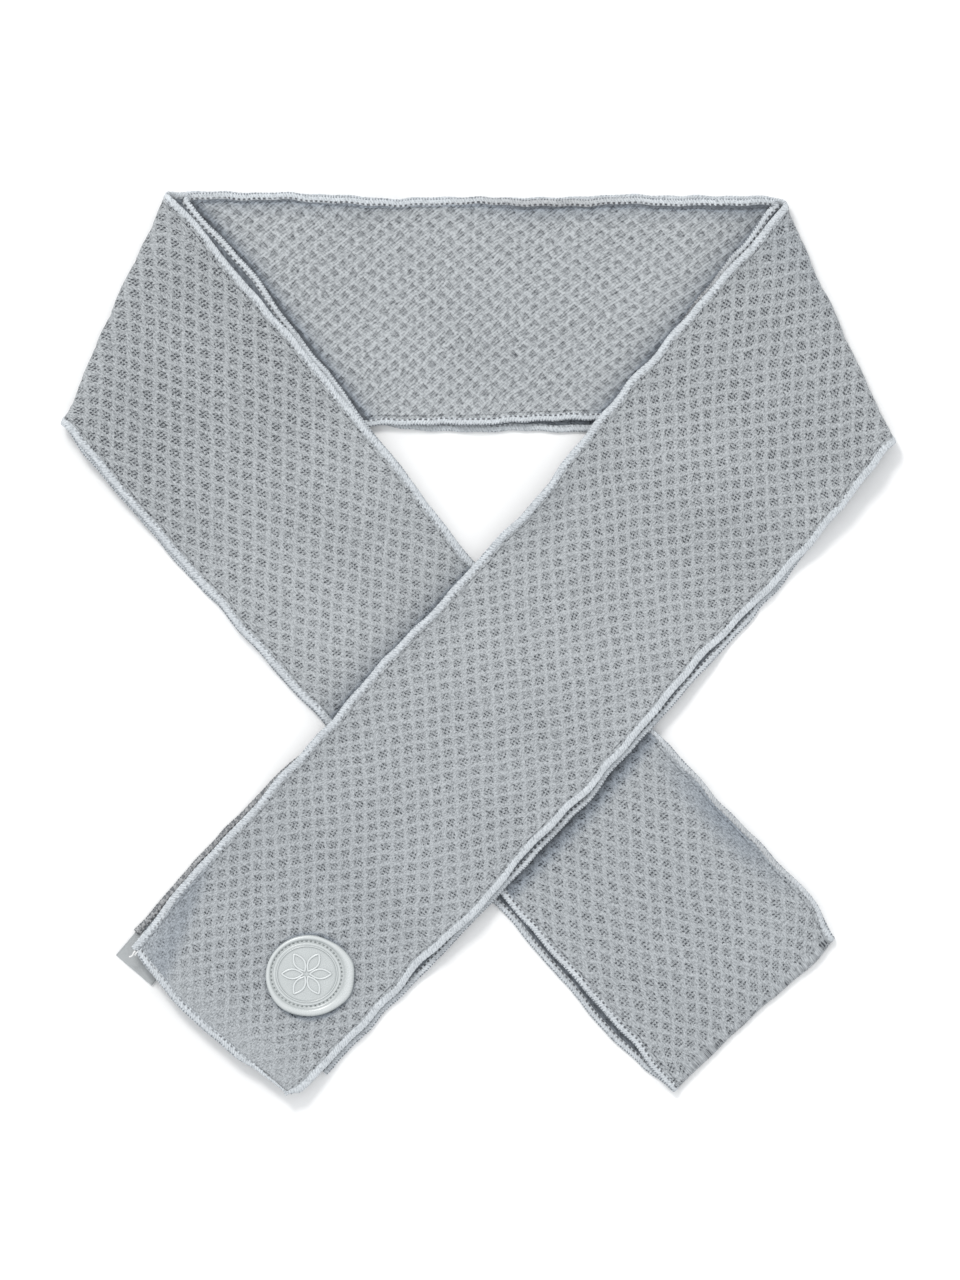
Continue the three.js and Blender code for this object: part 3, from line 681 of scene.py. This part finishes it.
def clothShell(name, lattice, outward, firstRing, offset, grain, material):
    # outer face with its diamonds pressed in, plain inner face, and rims between them
    chords = np.linalg.norm(np.diff(lattice, axis=0), axis=2, keepdims=True)
    run = runAlong(lattice, chords) + offset
    length = run[-1, 3, 0] - run[0, 3, 0]
    count = round(length / cloth["sample"])
    goal = np.linspace(run[0, 3, 0], run[-1, 3, 0], count + 1)
    at = np.interp(goal, run[:, 3, 0], np.arange(len(lattice)))
    rows = glide(np.concatenate([lattice, run], axis=2), chords, at)
    out = cloth["underHem"]
    outer = rows[:, [0, 6]].copy()
    outer[..., :3] += unit(outer[..., :3] - rows[:, [1, 5], :3]) * out
    rows = np.concatenate([outer[:, :1], rows, outer[:, 1:]], axis=1)
    v = (columnShares - 0.5) * cloth["width"]
    v = np.concatenate([[v[0] - out], v, [v[-1] + out]])
    skip = cloth["innerColumns"]
    cells = skip * round((v[-1] - v[0]) / cloth["sample"] / skip)
    spread = np.linspace(v[0], v[-1], cells + 1)
    steps = np.diff(v).reshape(-1, 1, 1)
    grid = glide(rows.transpose(1, 0, 2), steps, np.interp(spread, v, np.arange(9)))
    grid = grid.transpose(1, 0, 2)
    place, u = grid[..., :3], grid[..., 3]
    v = np.broadcast_to(spread, u.shape)
    normal = unit(np.cross(np.gradient(place, axis=1), np.gradient(place, axis=0)))
    turned = np.sum(normal[3, cells // 2] * outward[0, 3]) < 0
    if turned:
        normal = -normal
    edge = ramp(abs(v), 0.018, 0.044)
    rise = ripple(place, (at + firstRing)[:, None], normal[..., 2], edge)
    place = place + rise[..., None] * up + sway(place)
    if firstRing == 0:
        painted, litFadeAndOpening = frontShade(place, v, at[:, None])
    else:
        painted, litFadeAndOpening = backShade(place, v)
    spots, leans, sizes = (np.array(column) for column in zip(*grain))
    fine = np.linspace(spots[0], spots[-1], 2000)
    pace = np.cumsum(cloth["cellAlong"] * 1000 / np.interp(fine, spots, sizes))
    u = np.interp(u, fine, pace * (fine[1] - fine[0])) + np.interp(u, spots, leans) * v
    toEnd = np.minimum(goal - goal[0], goal[-1] - goal)[:, None]
    toSide = cloth["width"] / 2 - abs(v)
    a, b = u / cloth["cellAlong"], v / cloth["cellAcross"]
    p, q = a + b, a - b
    ring = np.maximum(abs(p - np.round(p)), abs(q - np.round(q)))  # 0.5 on the ridges
    deep = (1 - ramp(ring, 0.2, 0.4)) * cloth["pitDepth"]
    deep = deep * ramp(toSide, 0.0002, 0.0018) * ramp(toEnd, 0.001, 0.0035)
    sunk = np.maximum(
        cloth["endSunk"] * (1 - ramp(toEnd, 0.0006, 0.0022)),
        cloth["sideSunk"] * (1 - ramp(toSide, 0.0002, 0.0014)),
    )
    front = place + normal * (cloth["thickness"] / 2 - deep - sunk)[..., None]
    bend = np.sum(normal[1:, cells // 2] * normal[:-1, cells // 2], axis=1) < math.cos(0.03)
    keep = {*range(0, count, cloth["innerRows"]), count}
    for k in np.flatnonzero(bend).tolist():
        keep |= {k, k + 1}
    keep, columns = sorted(keep), list(range(0, cells + 1, skip))
    back = (place - normal * cloth["thickness"] / 2)[np.ix_(keep, columns)]
    points = np.append(front, back).reshape(-1, 3)
    given = {}
    for key, values, inside in (("shade", painted, cloth["insideShade"]), ("litFadeAndOpening", litFadeAndOpening, 0)):
        given[key] = np.append(values, np.full(back.size // 3, inside))
    maps = np.stack([u, v], axis=-1)
    maps = np.append(maps, maps[np.ix_(keep, columns)]).reshape(-1, 2)
    faces, flatFrom = shellFaces(count, cells, keep, columns)
    if turned:
        faces = [face[::-1] for face in faces]
    piece = makePiece(name, points, faces, maps, material, flatFrom, given)
    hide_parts("mesh_band")
    print(name, "has", len(faces), "faces,", round(length, 3), "m long")
    return piece, run[-1]


def addCloth():
    lattice, outward = clothLattice()
    split = cloth["tuckUnder"]
    holed, smooth = clothFinish("holedMesh", True), clothFinish("diamondMesh", False)
    first, second = lattice[: split + 1], lattice[split:]
    front, run = clothShell("frontCloth", first, outward, 0, 0.0, frontGrain, holed)
    outward = outward[split - 1 :]
    back = clothShell("backCloth", second, outward, split, run[3], backGrain, smooth)[0]
    return front, back


# Overlocked edges

hem = {
    "halfWidth": 0.0016,
    "sample": 0.00055,
    "stitch": 0.002,
    "wobble": 0.00032,
    "thread": (0.61, 0.645, 0.675),
    "shadow": (0.16, 0.178, 0.2),
    "shadeTint": (0.64, 0.61, 0.59),
    "needle": (0.1, 0.105, 0.115),
    "narrow": 0.88,  # the long hems are seen a little rolled under
    "raised": 0.00022,  # of the end hems, clear of the cloth
    "thinFor": 0.03,  # along the badge end, from its curled corner
    "looseEnd": 0.0042,  # length of the thread tail at that corner
    "looseRadius": 0.0003,
    # where the back layer's edge shows: from, to, fading over, how far
    "peekUpper": (-0.0215, 0.03, 0.034, 0.0013),
    "peekLower": (0.1, 0.3, 0.012, 0.0008),
    "drawnIn": (0.0024, 0.0065),  # at the badge end: how far, over what length
    "drifts": [(0.019, 1), (0.0085, 0.7), (0.0038, 0.25), (0.0017, 0.12)],  # length and share
    "hollow": (0.00105, 0.00028, 0.0002),  # needle holes: from the middle, width, depth
    "rolled": (65.5, 2.4),  # rings where the tail's edge turns down, its hem in painted shade there
}
# half of a hem's section in millimetres, from its outer side over the top
hemSection = [
    (1.6, 0), (1.5, 0.42), (1.18, 0.7), (0.6, 0.85), (0.0, 0.88),
    (-0.5, 0.85), (-0.95, 0.8), (-1.3, 0.72), (-1.5, 0.58), (-1.6, 0.2),
]


def hemFinish():
    shade = Finish("overlockThread")
    flat, u, v = shade.along()
    painted, dotsAndGapShade = shade.given("shade"), shade.given("dotsAndGapShade")
    grain = shade.noise(flat, 0.0009) - 0.5
    patch = shade.noise(flat, 0.009) - 0.5
    beat = u / hem["stitch"] + patch * 0.8
    thread = (u / 0.00105 + v / 0.0019 + grain * 1.2).wave()
    fibre = shade.noise(shade.place(u * 1.5 + v * 0.8, v * 0.4), 0.0007, 1) - 0.5
    border = abs(v + 0.00085 + grain * 0.0003).under(0.0002, 0.0005)
    needle = border * beat.near().under(0.14, 0.38)
    needle = needle * (0.36 + 0.55 * dotsAndGapShade + 2.2 * patch + grain)
    inner = (v + grain * 0.0003).under(-0.0016, -0.0011)
    outer = (0 - v).under(-0.0016, -0.0012)
    fringe = abs(v - 0.0012).under(0.00015, 0.00045) * (u / 0.00112 + grain).near().under(0.12, 0.36)
    fringe = fringe * (0.25 + 0.7 * dotsAndGapShade + 2.0 * patch)
    # painted shade on the hem's flanks, deepest over the crevice beyond the badge arm's front lower hem
    gap = outer * (0.15 + 0.9 * (0 - dotsAndGapShade).larger(0)) + inner * 0.6
    dark = 0.14 - 0.15 * thread + grain * 1.3 + fibre * 1.3 + gap + fringe
    tone = shade.blend(dark, hem["thread"], hem["shadow"])
    tone = shade.blend(needle, tone, hem["needle"])
    tone = shade.times(tone, 0.98 + 0.4 * patch)
    # where painted: a grey-brown tint with dark knots of thread, painted shade in part
    knot = shade.noise(flat, 0.0012, 1).under(0.4, 0.52) * (0 - painted).under(-0.9, -0.5)
    cool = shade.tinted(tone, hem["shadeTint"])
    cool = shade.blend(knot * 0.9, cool, hem["needle"])
    height = thread * 0.00005 - needle * 0.00015 + grain * 0.0001 + fibre * 0.0001
    return shade.skin({
        "Base Color": shade.blend(painted, tone, cool),
        "Roughness": 0.72,
        "Specular IOR Level": 0.35,
        "Sheen Weight": 0.1,
        "Normal": shade.bump(height),
    })


def wander(u, seed):  # a hem's drift to either side
    random = np.random.default_rng(seed)
    drift = np.zeros_like(u)
    for gap, share in hem["drifts"]:
        knots = np.arange(0, u[-1] + 2 * gap, gap)
        pulls = random.uniform(-1, 1, len(knots))[:, None]
        drift += share * glide(pulls, np.full((len(knots) - 1, 1), gap), u / gap)[:, 0]
    return drift * hem["wobble"]


def longHem(u, at, centre, side, lift, lower):
    # the place, the shades and the thinness of a long edge, ring by ring
    centre = centre + ripple(centre, at, lift[:, 2], np.ones(len(u)))[:, None] * up
    if lower:
        shift, length = hem["drawnIn"]
        centre = centre - side * shift * (1 - ramp(u[:, None], 0, length))
    fromFold = (centre - arm["corner"]) @ arm["along"]
    start, end, fade, shift = hem["peekLower" if lower else "peekUpper"]
    peek = ramp(fromFold, start, start + 0.006) * (1 - ramp(fromFold, end - fade, end))
    peek = peek * ramp(at, stretches["backArm"] - 1, stretches["backArm"] + 2)
    centre = centre + side * (shift * peek)[:, None]
    centre = centre + sway(centre)
    thin = np.full(len(u), hem["narrow"])
    curled = (centre[:, 1] > 0.03) * (at > stretches["backNeck"]) * (at < stretches["backArm"])
    # the neck's curled top hem tinted grey-brown in patches, partly painted shade where it curls
    painted = 0.6 * curled * np.clip(np.sin(centre[:, 0] * 38 + 0.5), 0, 1)
    dotsAndGapShade = np.where(at > stretches["backTail"] - (10 if lower else 0), 1.0, 0.0)
    if lower:
        # below 0 paints shade into the crevice beyond the badge arm's front lower hem
        dotsAndGapShade = np.where(at < stretches["frontBend"], -1.0, dotsAndGapShade)
        thin = thin * (0.5 + 0.5 * ramp(u, 0.0004, 0.0055))
    else:
        hidden = ramp(at, stretches["backArm"], stretches["backArm"] + 2)
        middle, width = hem["rolled"]
        # the back arm's upper hem tinted grey-brown with knots where it does not peek out; the tail's
        # rolled edge in painted shade
        painted = painted + 0.9 * hidden * (1 - peek) + 0.5 * hump(at - middle, width)
        thin = thin * (1 - 0.25 * (ramp(at, 58, 62) * (at < stretches["backTail"])))
    return centre, painted, dotsAndGapShade, thin


def hemRope(name, rings, outside, material, node, seed, long=True, thinFor=0):
    # rings of six points become a wrapped edge; outside is 1 or -1 along their first spoke
    centre = rings.mean(axis=1)
    side = unit(rings[:, 0] - rings[:, 3]) * outside
    lift = unit(rings[:, 1] + rings[:, 2] - rings[:, 4] - rings[:, 5])
    steps = np.linalg.norm(np.diff(centre, axis=0), axis=1, keepdims=True)
    run = np.concatenate([[0], np.cumsum(steps[:, 0])])
    count = round(run[-1] / hem["sample"])
    u = np.linspace(0, run[-1], count + 1)
    at = np.interp(u, run, np.arange(len(run)))
    row = glide(np.concatenate([centre, side, lift], axis=1), steps, at)
    centre, side, lift = row[:, :3], unit(row[:, 3:6]), unit(row[:, 6:])
    drift = wander(u, seed)[:, None]
    if long:
        centre, painted, dotsAndGapShade, thin = longHem(u, at, centre, side, lift, outside < 0)
    else:
        centre = centre + lift * hem["raised"]
        centre = centre + sway(centre)
        painted, dotsAndGapShade, thin = np.zeros(len(u)), np.full(len(u), 0.5), np.ones(len(u))
        if thinFor:  # seen edge-on where the corner curls up
            thin = 0.32 + 0.68 * ramp(u, thinFor * 0.2, thinFor)
    section = np.array(hemSection + [(w, -h) for w, h in hemSection[:0:-1]]) / 1000
    thin = thin[:, None]
    w, h = section[:, 0] * thin, section[:, 1] * (0.5 + 0.5 * thin)
    beat = u[:, None] / hem["stitch"]
    wave = np.cos(2 * math.pi * (beat - 0.3 * section[:, 0] / hem["halfWidth"]))
    wide = w + 0.00008 * np.clip(w / hem["halfWidth"], 0, 1) * wave + drift
    inward, reach, depth = hem["hollow"]
    hollow = hump(w + inward, reach) * np.clip(np.cos(2 * math.pi * beat), 0, 1)
    tall = h * (1 + 0.09 * wave) - np.sign(h) * hollow * depth
    points = centre[:, None] + side[:, None] * wide[..., None] + lift[:, None] * tall[..., None]
    size = len(section)
    maps = np.stack(np.broadcast_arrays(u[:, None], w), axis=-1)
    k, t = np.mgrid[0:count, 0:size]
    one, two = (k * size + t).ravel(), (k * size + (t + 1) % size).ravel()
    faces = np.stack([one, two, two + size, one + size], axis=1).tolist()
    faces += [list(range(size))[::-1], list(range(count * size, (count + 1) * size))]
    a, b, c = (points.reshape(-1, 3)[faces[0][k]] for k in range(3))
    if np.cross(b - a, c - a) @ (a - centre[0]) < 0:
        faces = [face[::-1] for face in faces]
    given = {"shade": np.repeat(painted, size), "dotsAndGapShade": np.repeat(dotsAndGapShade, size)}
    points, maps = points.reshape(-1, 3), maps.reshape(-1, 2)
    piece = makePiece(name, points, faces, maps, material, given=given)
    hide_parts(node)
    print(name, "has", len(faces), "faces")
    return piece


# the loose thread's run in shares of its length: away from the end, sideways and up
looseShape = [
    (0, 0, 0), (0.18, 0.1, 0.12), (0.42, 0.05, 0.2), (0.62, -0.12, 0.16), (0.85, -0.18, 0.05),
    (1, -0.1, -0.1),
]


def addLooseThread(piece, start):
    # a short curl of thread at the corner of the badge end, part of its hem
    away, side = arm["along"], arm["across"]
    data = roundCurve("looseThread", hem["looseRadius"])
    data.use_fill_caps = True
    for turn, size in ((1, 1), (-1, 0.55)):
        length = hem["looseEnd"] * size
        places = [
            start + length * (a * away + turn * (b + 0.3 * a) * side + c * up) for a, b, c in looseShape
        ]
        addSpline(data, "NURBS", places).use_endpoint_u = True
    tail = addObject("looseThread", data)
    pick(tail)
    bpy.ops.object.convert(target="MESH")
    giveEach(tail.data, "shade", [0.3] * len(tail.data.vertices))
    pick(piece, tail)
    bpy.ops.object.join()
    print("loose thread added")


def addHems(upper, lower):
    thread = hemFinish()
    along, across = arm["along"], arm["across"]
    badgeEnd, tagEnd = (
        walkRings(node, -across, along, up) for node in ("badge_end_hem", "tag_end_hem")
    )
    hems = [
        hemRope("upperHem", upper, 1, thread, "upper_edge_hem", 3),
        hemRope("lowerHem", lower, -1, thread, "lower_edge_hem", 5),
        hemRope("badgeEndHem", badgeEnd, 1, thread, "badge_end_hem", 7, False, hem["thinFor"]),
        hemRope("tagEndHem", tagEnd, 1, thread, "tag_end_hem", 9, False),
    ]
    corner = upper[0].mean(axis=0)
    addLooseThread(hems[2], corner - 0.001 * along - 0.001 * across)
    return hems


# Moulded badge

badge = {
    "sides": 96,
    "stretch": 1.04,  # wider than tall
    "innerShift": (-0.0009, 0.0005),  # the groove and face sit off the rim's middle
    "shiftSpan": (0.0162, 0.0132),
    "stitches": 50,
    "stitchRing": 0.01302,
    "stitchSize": (0.00046, 0.0003, 0.0002),
    "stitchHeight": 0.00132,
    "lobesFrom": (0.0138, 0.0158),  # the rim alone has a hand-cut outline
    "faceHeight": 0.0017,
    "petals": 6,
    "petalStart": 0.0012,
    "petalEnd": 0.0091,
    "petalWidth": 0.0038,
    "line": 0.00042,  # half the width of the raised lines
    "lobes": [(-26, 17, 0.0007), (15, 15, 0.0006), (62, 18, -0.0005), (228, 24, 0.0005)],
    "colour": (0.56, 0.59, 0.59),
    "darker": (0.47, 0.5, 0.5),
    "hollowShadeTint": (0.52, 0.54, 0.545),
    "crestHighlight": (0.7, 0.73, 0.735),
    "threadColour": (0.23, 0.25, 0.25),
}
# radius and height in millimetres and painted shade, below 0 a painted highlight, from the underside up
# over the rim to the face
badgeProfile = [
    (15.4, 0.05, 1), (15.95, 0.3, 1), (16.2, 0.8, 0.9), (16.2, 1.35, 0.5), (16.0, 1.85, 0.2),
    (15.5, 2.2, -0.25), (14.9, 2.3, -0.4), (14.35, 2.2, -0.1), (13.95, 1.9, 0.15), (13.7, 1.5, 0.35),
    (13.45, 1.3, 0.2), (12.6, 1.28, 0.15), (12.5, 1.32, 0.4), (12.35, 1.65, 0), (12.2, 1.72, -0.5),
    (11.95, 1.7, 0), (11.52, 1.68, 0.3), (11.38, 1.7, 1), (11.28, 1.88, 0.2), (11.12, 1.92, -0.7),
    (10.96, 1.88, 0.2), (10.86, 1.7, 1), (10.65, 1.68, 0.5), (10.2, 1.68, 0.1), (8, 1.7, 0.1),
    (5, 1.72, 0.1), (2, 1.73, 0.1),
]


def shiftAt(radius):
    return [shareOf(radius, *badge["shiftSpan"]) * step for step in badge["innerShift"]]


def siliconeFinish():
    shade = Finish("mouldedSilicone")
    spot = shade.spot()
    fine = shade.noise(spot, 0.00045) - 0.5
    cloud = shade.noise(spot, 0.004, 3) - 0.5
    tone = shade.blend(0.5 + fine * 1.1 + cloud * 0.8, badge["darker"], badge["colour"])
    # painted shade in the hollows and on the rim's outer wall, a painted highlight on the crests
    painted = shade.given("shade")
    tone = shade.blend(painted, tone, shade.tinted(tone, badge["hollowShadeTint"]))
    return shade.skin({
        "Base Color": shade.blend(0 - painted, tone, badge["crestHighlight"]),
        "Roughness": 0.27 + fine * 0.2,
        "Specular IOR Level": 0.9,
        "Coat Weight": 0.3,
        "Coat Roughness": 0.25,
        "Normal": shade.bump(fine * 0.00003 + cloud * 0.00006),
    })


def stitchFinish():
    shade = Finish("badgeThread")
    ply = shade.noise(shade.spot(), 0.0003)
    return shade.skin({
        "Base Color": shade.times(shade.blend(ply, (0, 0, 0), badge["threadColour"]), 2.0),
        "Roughness": 0.7,
        "Normal": shade.bump(ply * 0.00005),
    })


def addBadgeBody():
    radius, height = (size / 1000 for size in badgeProfile[0][:2])
    bpy.ops.mesh.primitive_circle_add(
        vertices=badge["sides"], radius=radius, fill_type="NGON", location=(0, 0, height)
    )
    body = bpy.context.active_object
    bpy.ops.object.transform_apply()
    bpy.ops.object.mode_set(mode="EDIT")
    stretch = badge["stretch"]
    bpy.ops.transform.resize(value=(stretch, 1 / stretch, 1), center_override=(0, 0, height))
    for ring in badgeProfile[1:]:
        wide, tall = ring[0] / 1000, ring[1] / 1000
        before, after = shiftAt(radius), shiftAt(wide)
        move = (after[0] - before[0], after[1] - before[1], tall - height)
        bpy.ops.mesh.extrude_edges_move(TRANSFORM_OT_translate={"value": move})
        share = wide / radius
        bpy.ops.transform.resize(value=(share, share, 1), center_override=(*after, tall))
        radius, height = wide, tall
    bpy.ops.mesh.edge_face_add()
    turnOutwards()
    bpy.ops.object.shade_smooth()
    for point in body.data.vertices:
        radius, angle = math.hypot(point.co.x, point.co.y), math.atan2(point.co.y, point.co.x)
        share = shareOf(radius, *badge["lobesFrom"])
        for middle, width, size in badge["lobes"]:
            turn = (math.degrees(angle) - middle + 180) % 360 - 180
            push = share * size * hump(turn, width)
            point.co.x += push * math.cos(angle)
            point.co.y += push * math.sin(angle)
    shades = [ring[2] for ring in badgeProfile]
    rings = [min(k // badge["sides"], len(shades) - 1) for k in range(len(body.data.vertices))]
    giveEach(body.data, "shade", [shades[ring] for ring in rings])
    return body


def addPetal():
    # a leaf-shaped raised line, pointing along +x
    count = 22
    share = np.linspace(0, 1, count)
    x = badge["petalStart"] + share * (badge["petalEnd"] - badge["petalStart"])
    y = badge["petalWidth"] / 2 * np.sin(math.pi * share) ** 0.9
    z = np.full(count, badge["faceHeight"] + 0.0001)
    loop = list(zip(x, y, z)) + list(zip(x[-2:0:-1], -y[-2:0:-1], z[-2:0:-1]))
    data = roundCurve("petal", badge["line"])
    addSpline(data, "POLY", loop).use_cyclic_u = True
    petal = addObject("petal", data)
    pick(petal)
    bpy.ops.object.convert(target="MESH")
    bpy.ops.object.shade_smooth()
    rise = (pointsOf(petal.data)[:, 2] - badge["faceHeight"]) / badge["line"]
    # painted highlight along the top of each raised line, painted shade at its feet
    giveEach(petal.data, "shade", np.clip(1 - (rise - 0.5) * 4.5, -0.7, 1))
    return petal


def addStitch():
    bpy.ops.mesh.primitive_uv_sphere_add(segments=8, ring_count=6, radius=1)
    stitch = bpy.context.active_object
    bpy.ops.transform.resize(value=badge["stitchSize"])
    bpy.ops.object.transform_apply()
    bpy.ops.object.shade_smooth()
    return stitch


def copyOf(source, move, turn):
    # turned, moved, stretched with the badge and shifted to the middle of its face
    copy = addObject(source.name, source.data.copy())
    pick(copy)
    copy.rotation_euler = (0, 0, turn)
    copy.location = move
    bpy.ops.object.transform_apply()
    copy.scale = (badge["stretch"], 1 / badge["stretch"], 1)
    bpy.ops.object.transform_apply()
    movePoints(copy.data, pointsOf(copy.data) + (*badge["innerShift"], 0))
    return copy


def joined(name, parts):
    pick(*parts)
    bpy.ops.object.join()
    parts[0].name = name
    return parts[0]


def restOf(node):
    # middle of a solid's flat underside, and which way its top faces
    mesh = nodes[node].data
    faces = [face for face in mesh.polygons if face.normal.z < -0.95]
    low = min(face.center.z for face in faces)
    faces = [face for face in faces if face.center.z < low + 0.0012]
    size = sum(face.area for face in faces)
    middle = sum((np.array(face.center) * face.area for face in faces), np.zeros(3)) / size
    facing = unit(-sum((np.array(face.normal) * face.area for face in faces), np.zeros(3)))
    return middle, facing


def setDown(piece, middle, facing):
    xAxis = unit(np.cross([0, 1.0, 0], facing))
    yAxis = np.cross(facing, xAxis)
    turn = np.stack([xAxis, yAxis, facing], axis=1)
    movePoints(piece.data, pointsOf(piece.data) @ turn.T + middle)


def addBadge():
    middle, facing = restOf("badge")
    body = addBadgeBody()
    petal = addPetal()
    turns = [2 * math.pi * k / badge["petals"] for k in range(badge["petals"])]
    petals = [copyOf(petal, (0, 0, 0), turn) for turn in turns]
    bpy.data.objects.remove(petal)
    body = joined("badgeBody", [body] + petals)
    stitch = addStitch()
    stitches = []
    for k in range(badge["stitches"]):
        turn = 2 * math.pi * (k + 0.5) / badge["stitches"]
        ring = badge["stitchRing"]
        place = (ring * math.cos(turn), ring * math.sin(turn), badge["stitchHeight"])
        stitches.append(copyOf(stitch, place, turn + math.pi / 2))
    bpy.data.objects.remove(stitch)
    stitches = joined("badgeStitches", stitches)
    for piece in (body, stitches):
        setDown(piece, middle, facing)
    dress(body, siliconeFinish())
    dress(stitches, stitchFinish())
    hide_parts("badge")
    print("badge lies", [round(float(t), 4) for t in middle], "with", len(body.data.polygons), "faces")


# Folded side tag

tag = {
    "ribbon": 0.0003,  # thickness
    "low": 0.0002,  # middle of its lower leg
    "high": 0.0009,
    "width": 0.018,
    "columns": 36,
    "legSteps": 6,
    "sag": 0.00008,
    "colour": (0.43, 0.449, 0.457),
    "darker": (0.335, 0.352, 0.362),
}


def satinFinish():
    shade = Finish("satinRibbon")
    flat, u, v = shade.along()
    rib = (v / 0.00045).wave()
    fine = shade.noise(shade.place(u * 0.3, v * 1.5), 0.0004) - 0.5
    cloud = shade.noise(flat, 0.006) - 0.5
    # painted shade along both long edges of the ribbon
    edge = v.under(0.0002, 0.0008).larger((tag["width"] - v).under(0.0002, 0.0008))
    tone = 0.75 + fine * 0.7 + cloud * 0.5 + rib * 0.05 - edge * 0.6
    return shade.skin({
        "Base Color": shade.blend(tone, tag["darker"], tag["colour"]),
        "Roughness": 0.5 + fine * 0.2,
        "Specular IOR Level": 0.45,
        "Normal": shade.bump(rib * 0.00002 + fine * 0.00005),
    })


def addTag():
    away = pointsOf(nodes["side_tag"].data) - arm["corner"]
    start, end = np.percentile(away @ arm["along"], (0, 100))
    low, high = np.percentile(away @ arm["across"], (0, 100))
    half = tag["ribbon"] / 2
    radius = (tag["high"] - tag["low"]) / 2
    turn = np.linspace(-math.pi / 2, math.pi / 2, 9)
    nose = end - radius - half
    steps = tag["legSteps"]
    leg = np.linspace(start, nose, steps + 1)[:-1]
    s = np.concatenate([leg, nose + radius * np.cos(turn), leg[::-1]])
    bent = tag["low"] + radius + radius * np.sin(turn)
    z = np.concatenate([np.full(steps, tag["low"]), bent, np.full(steps, tag["high"])])
    path = np.stack([s, z], axis=1)
    way = unit(np.gradient(path, axis=0))
    side = np.stack([way[:, 1], -way[:, 0]], axis=1)
    length = np.concatenate([[0], np.cumsum(np.linalg.norm(np.diff(path, axis=0), axis=1))])
    t = np.linspace(low, high, tag["columns"] + 1)
    sag = tag["sag"] * np.sin(t * 700) * ramp(s, start, end)[:, None]
    layers = []
    for offset in (half, -half):
        line = path + side * offset
        layer = arm["corner"] + line[:, :1, None] * arm["along"] + t[None, :, None] * arm["across"]
        layer[..., 2] = line[:, 1][:, None] + sag
        layers.append(layer)
    rows, wide = len(path), len(t)
    points = np.array(layers).reshape(-1, 3)
    maps = np.stack(np.broadcast_arrays(length[:, None], (t - low)[None]), axis=-1)
    maps = np.append(maps, maps).reshape(-1, 2)
    other = rows * wide
    faces = gridFaces(rows, wide) + [face[::-1] for face in gridFaces(rows, wide, other)]
    for a in range(0, other - wide, wide):
        b = a + wide - 1
        faces.append((a, a + wide, a + wide + other, a + other))
        faces.append((b + other, b + other + wide, b + wide, b))
    for a in range(wide - 1):
        b = a + other - wide
        faces.append((a + other, a + 1 + other, a + 1, a))
        faces.append((b, b + 1, b + 1 + other, b + other))
    piece = makePiece("sideTag", points, faces, maps, satinFinish())
    pick(piece)
    bpy.ops.object.mode_set(mode="EDIT")
    turnOutwards()
    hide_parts("side_tag")
    print("tag is", round(high - low, 4), "wide, its ribbon", round(float(length[-1]), 4), "long")
    return piece


addCamera()
addStudio()
upperRings, lowerRings = (
    walkRings(node, arm["along"], arm["across"], up, arm["endReach"], arm["endHeight"])
    for node in ("upper_edge_hem", "lower_edge_hem")
)
ropes = (upperRings, lowerRings)
badgeArmEdges = readArm(ropes, badgeArmRings, 1)
tailArmEdges = readArm(ropes, tailArmRings, mirrored)
badgeMiddle = restOf("badge")[0]
frontCloth, backCloth = addCloth()
hems = addHems(upperRings, lowerRings)
addBadge()
sideTag = addTag()
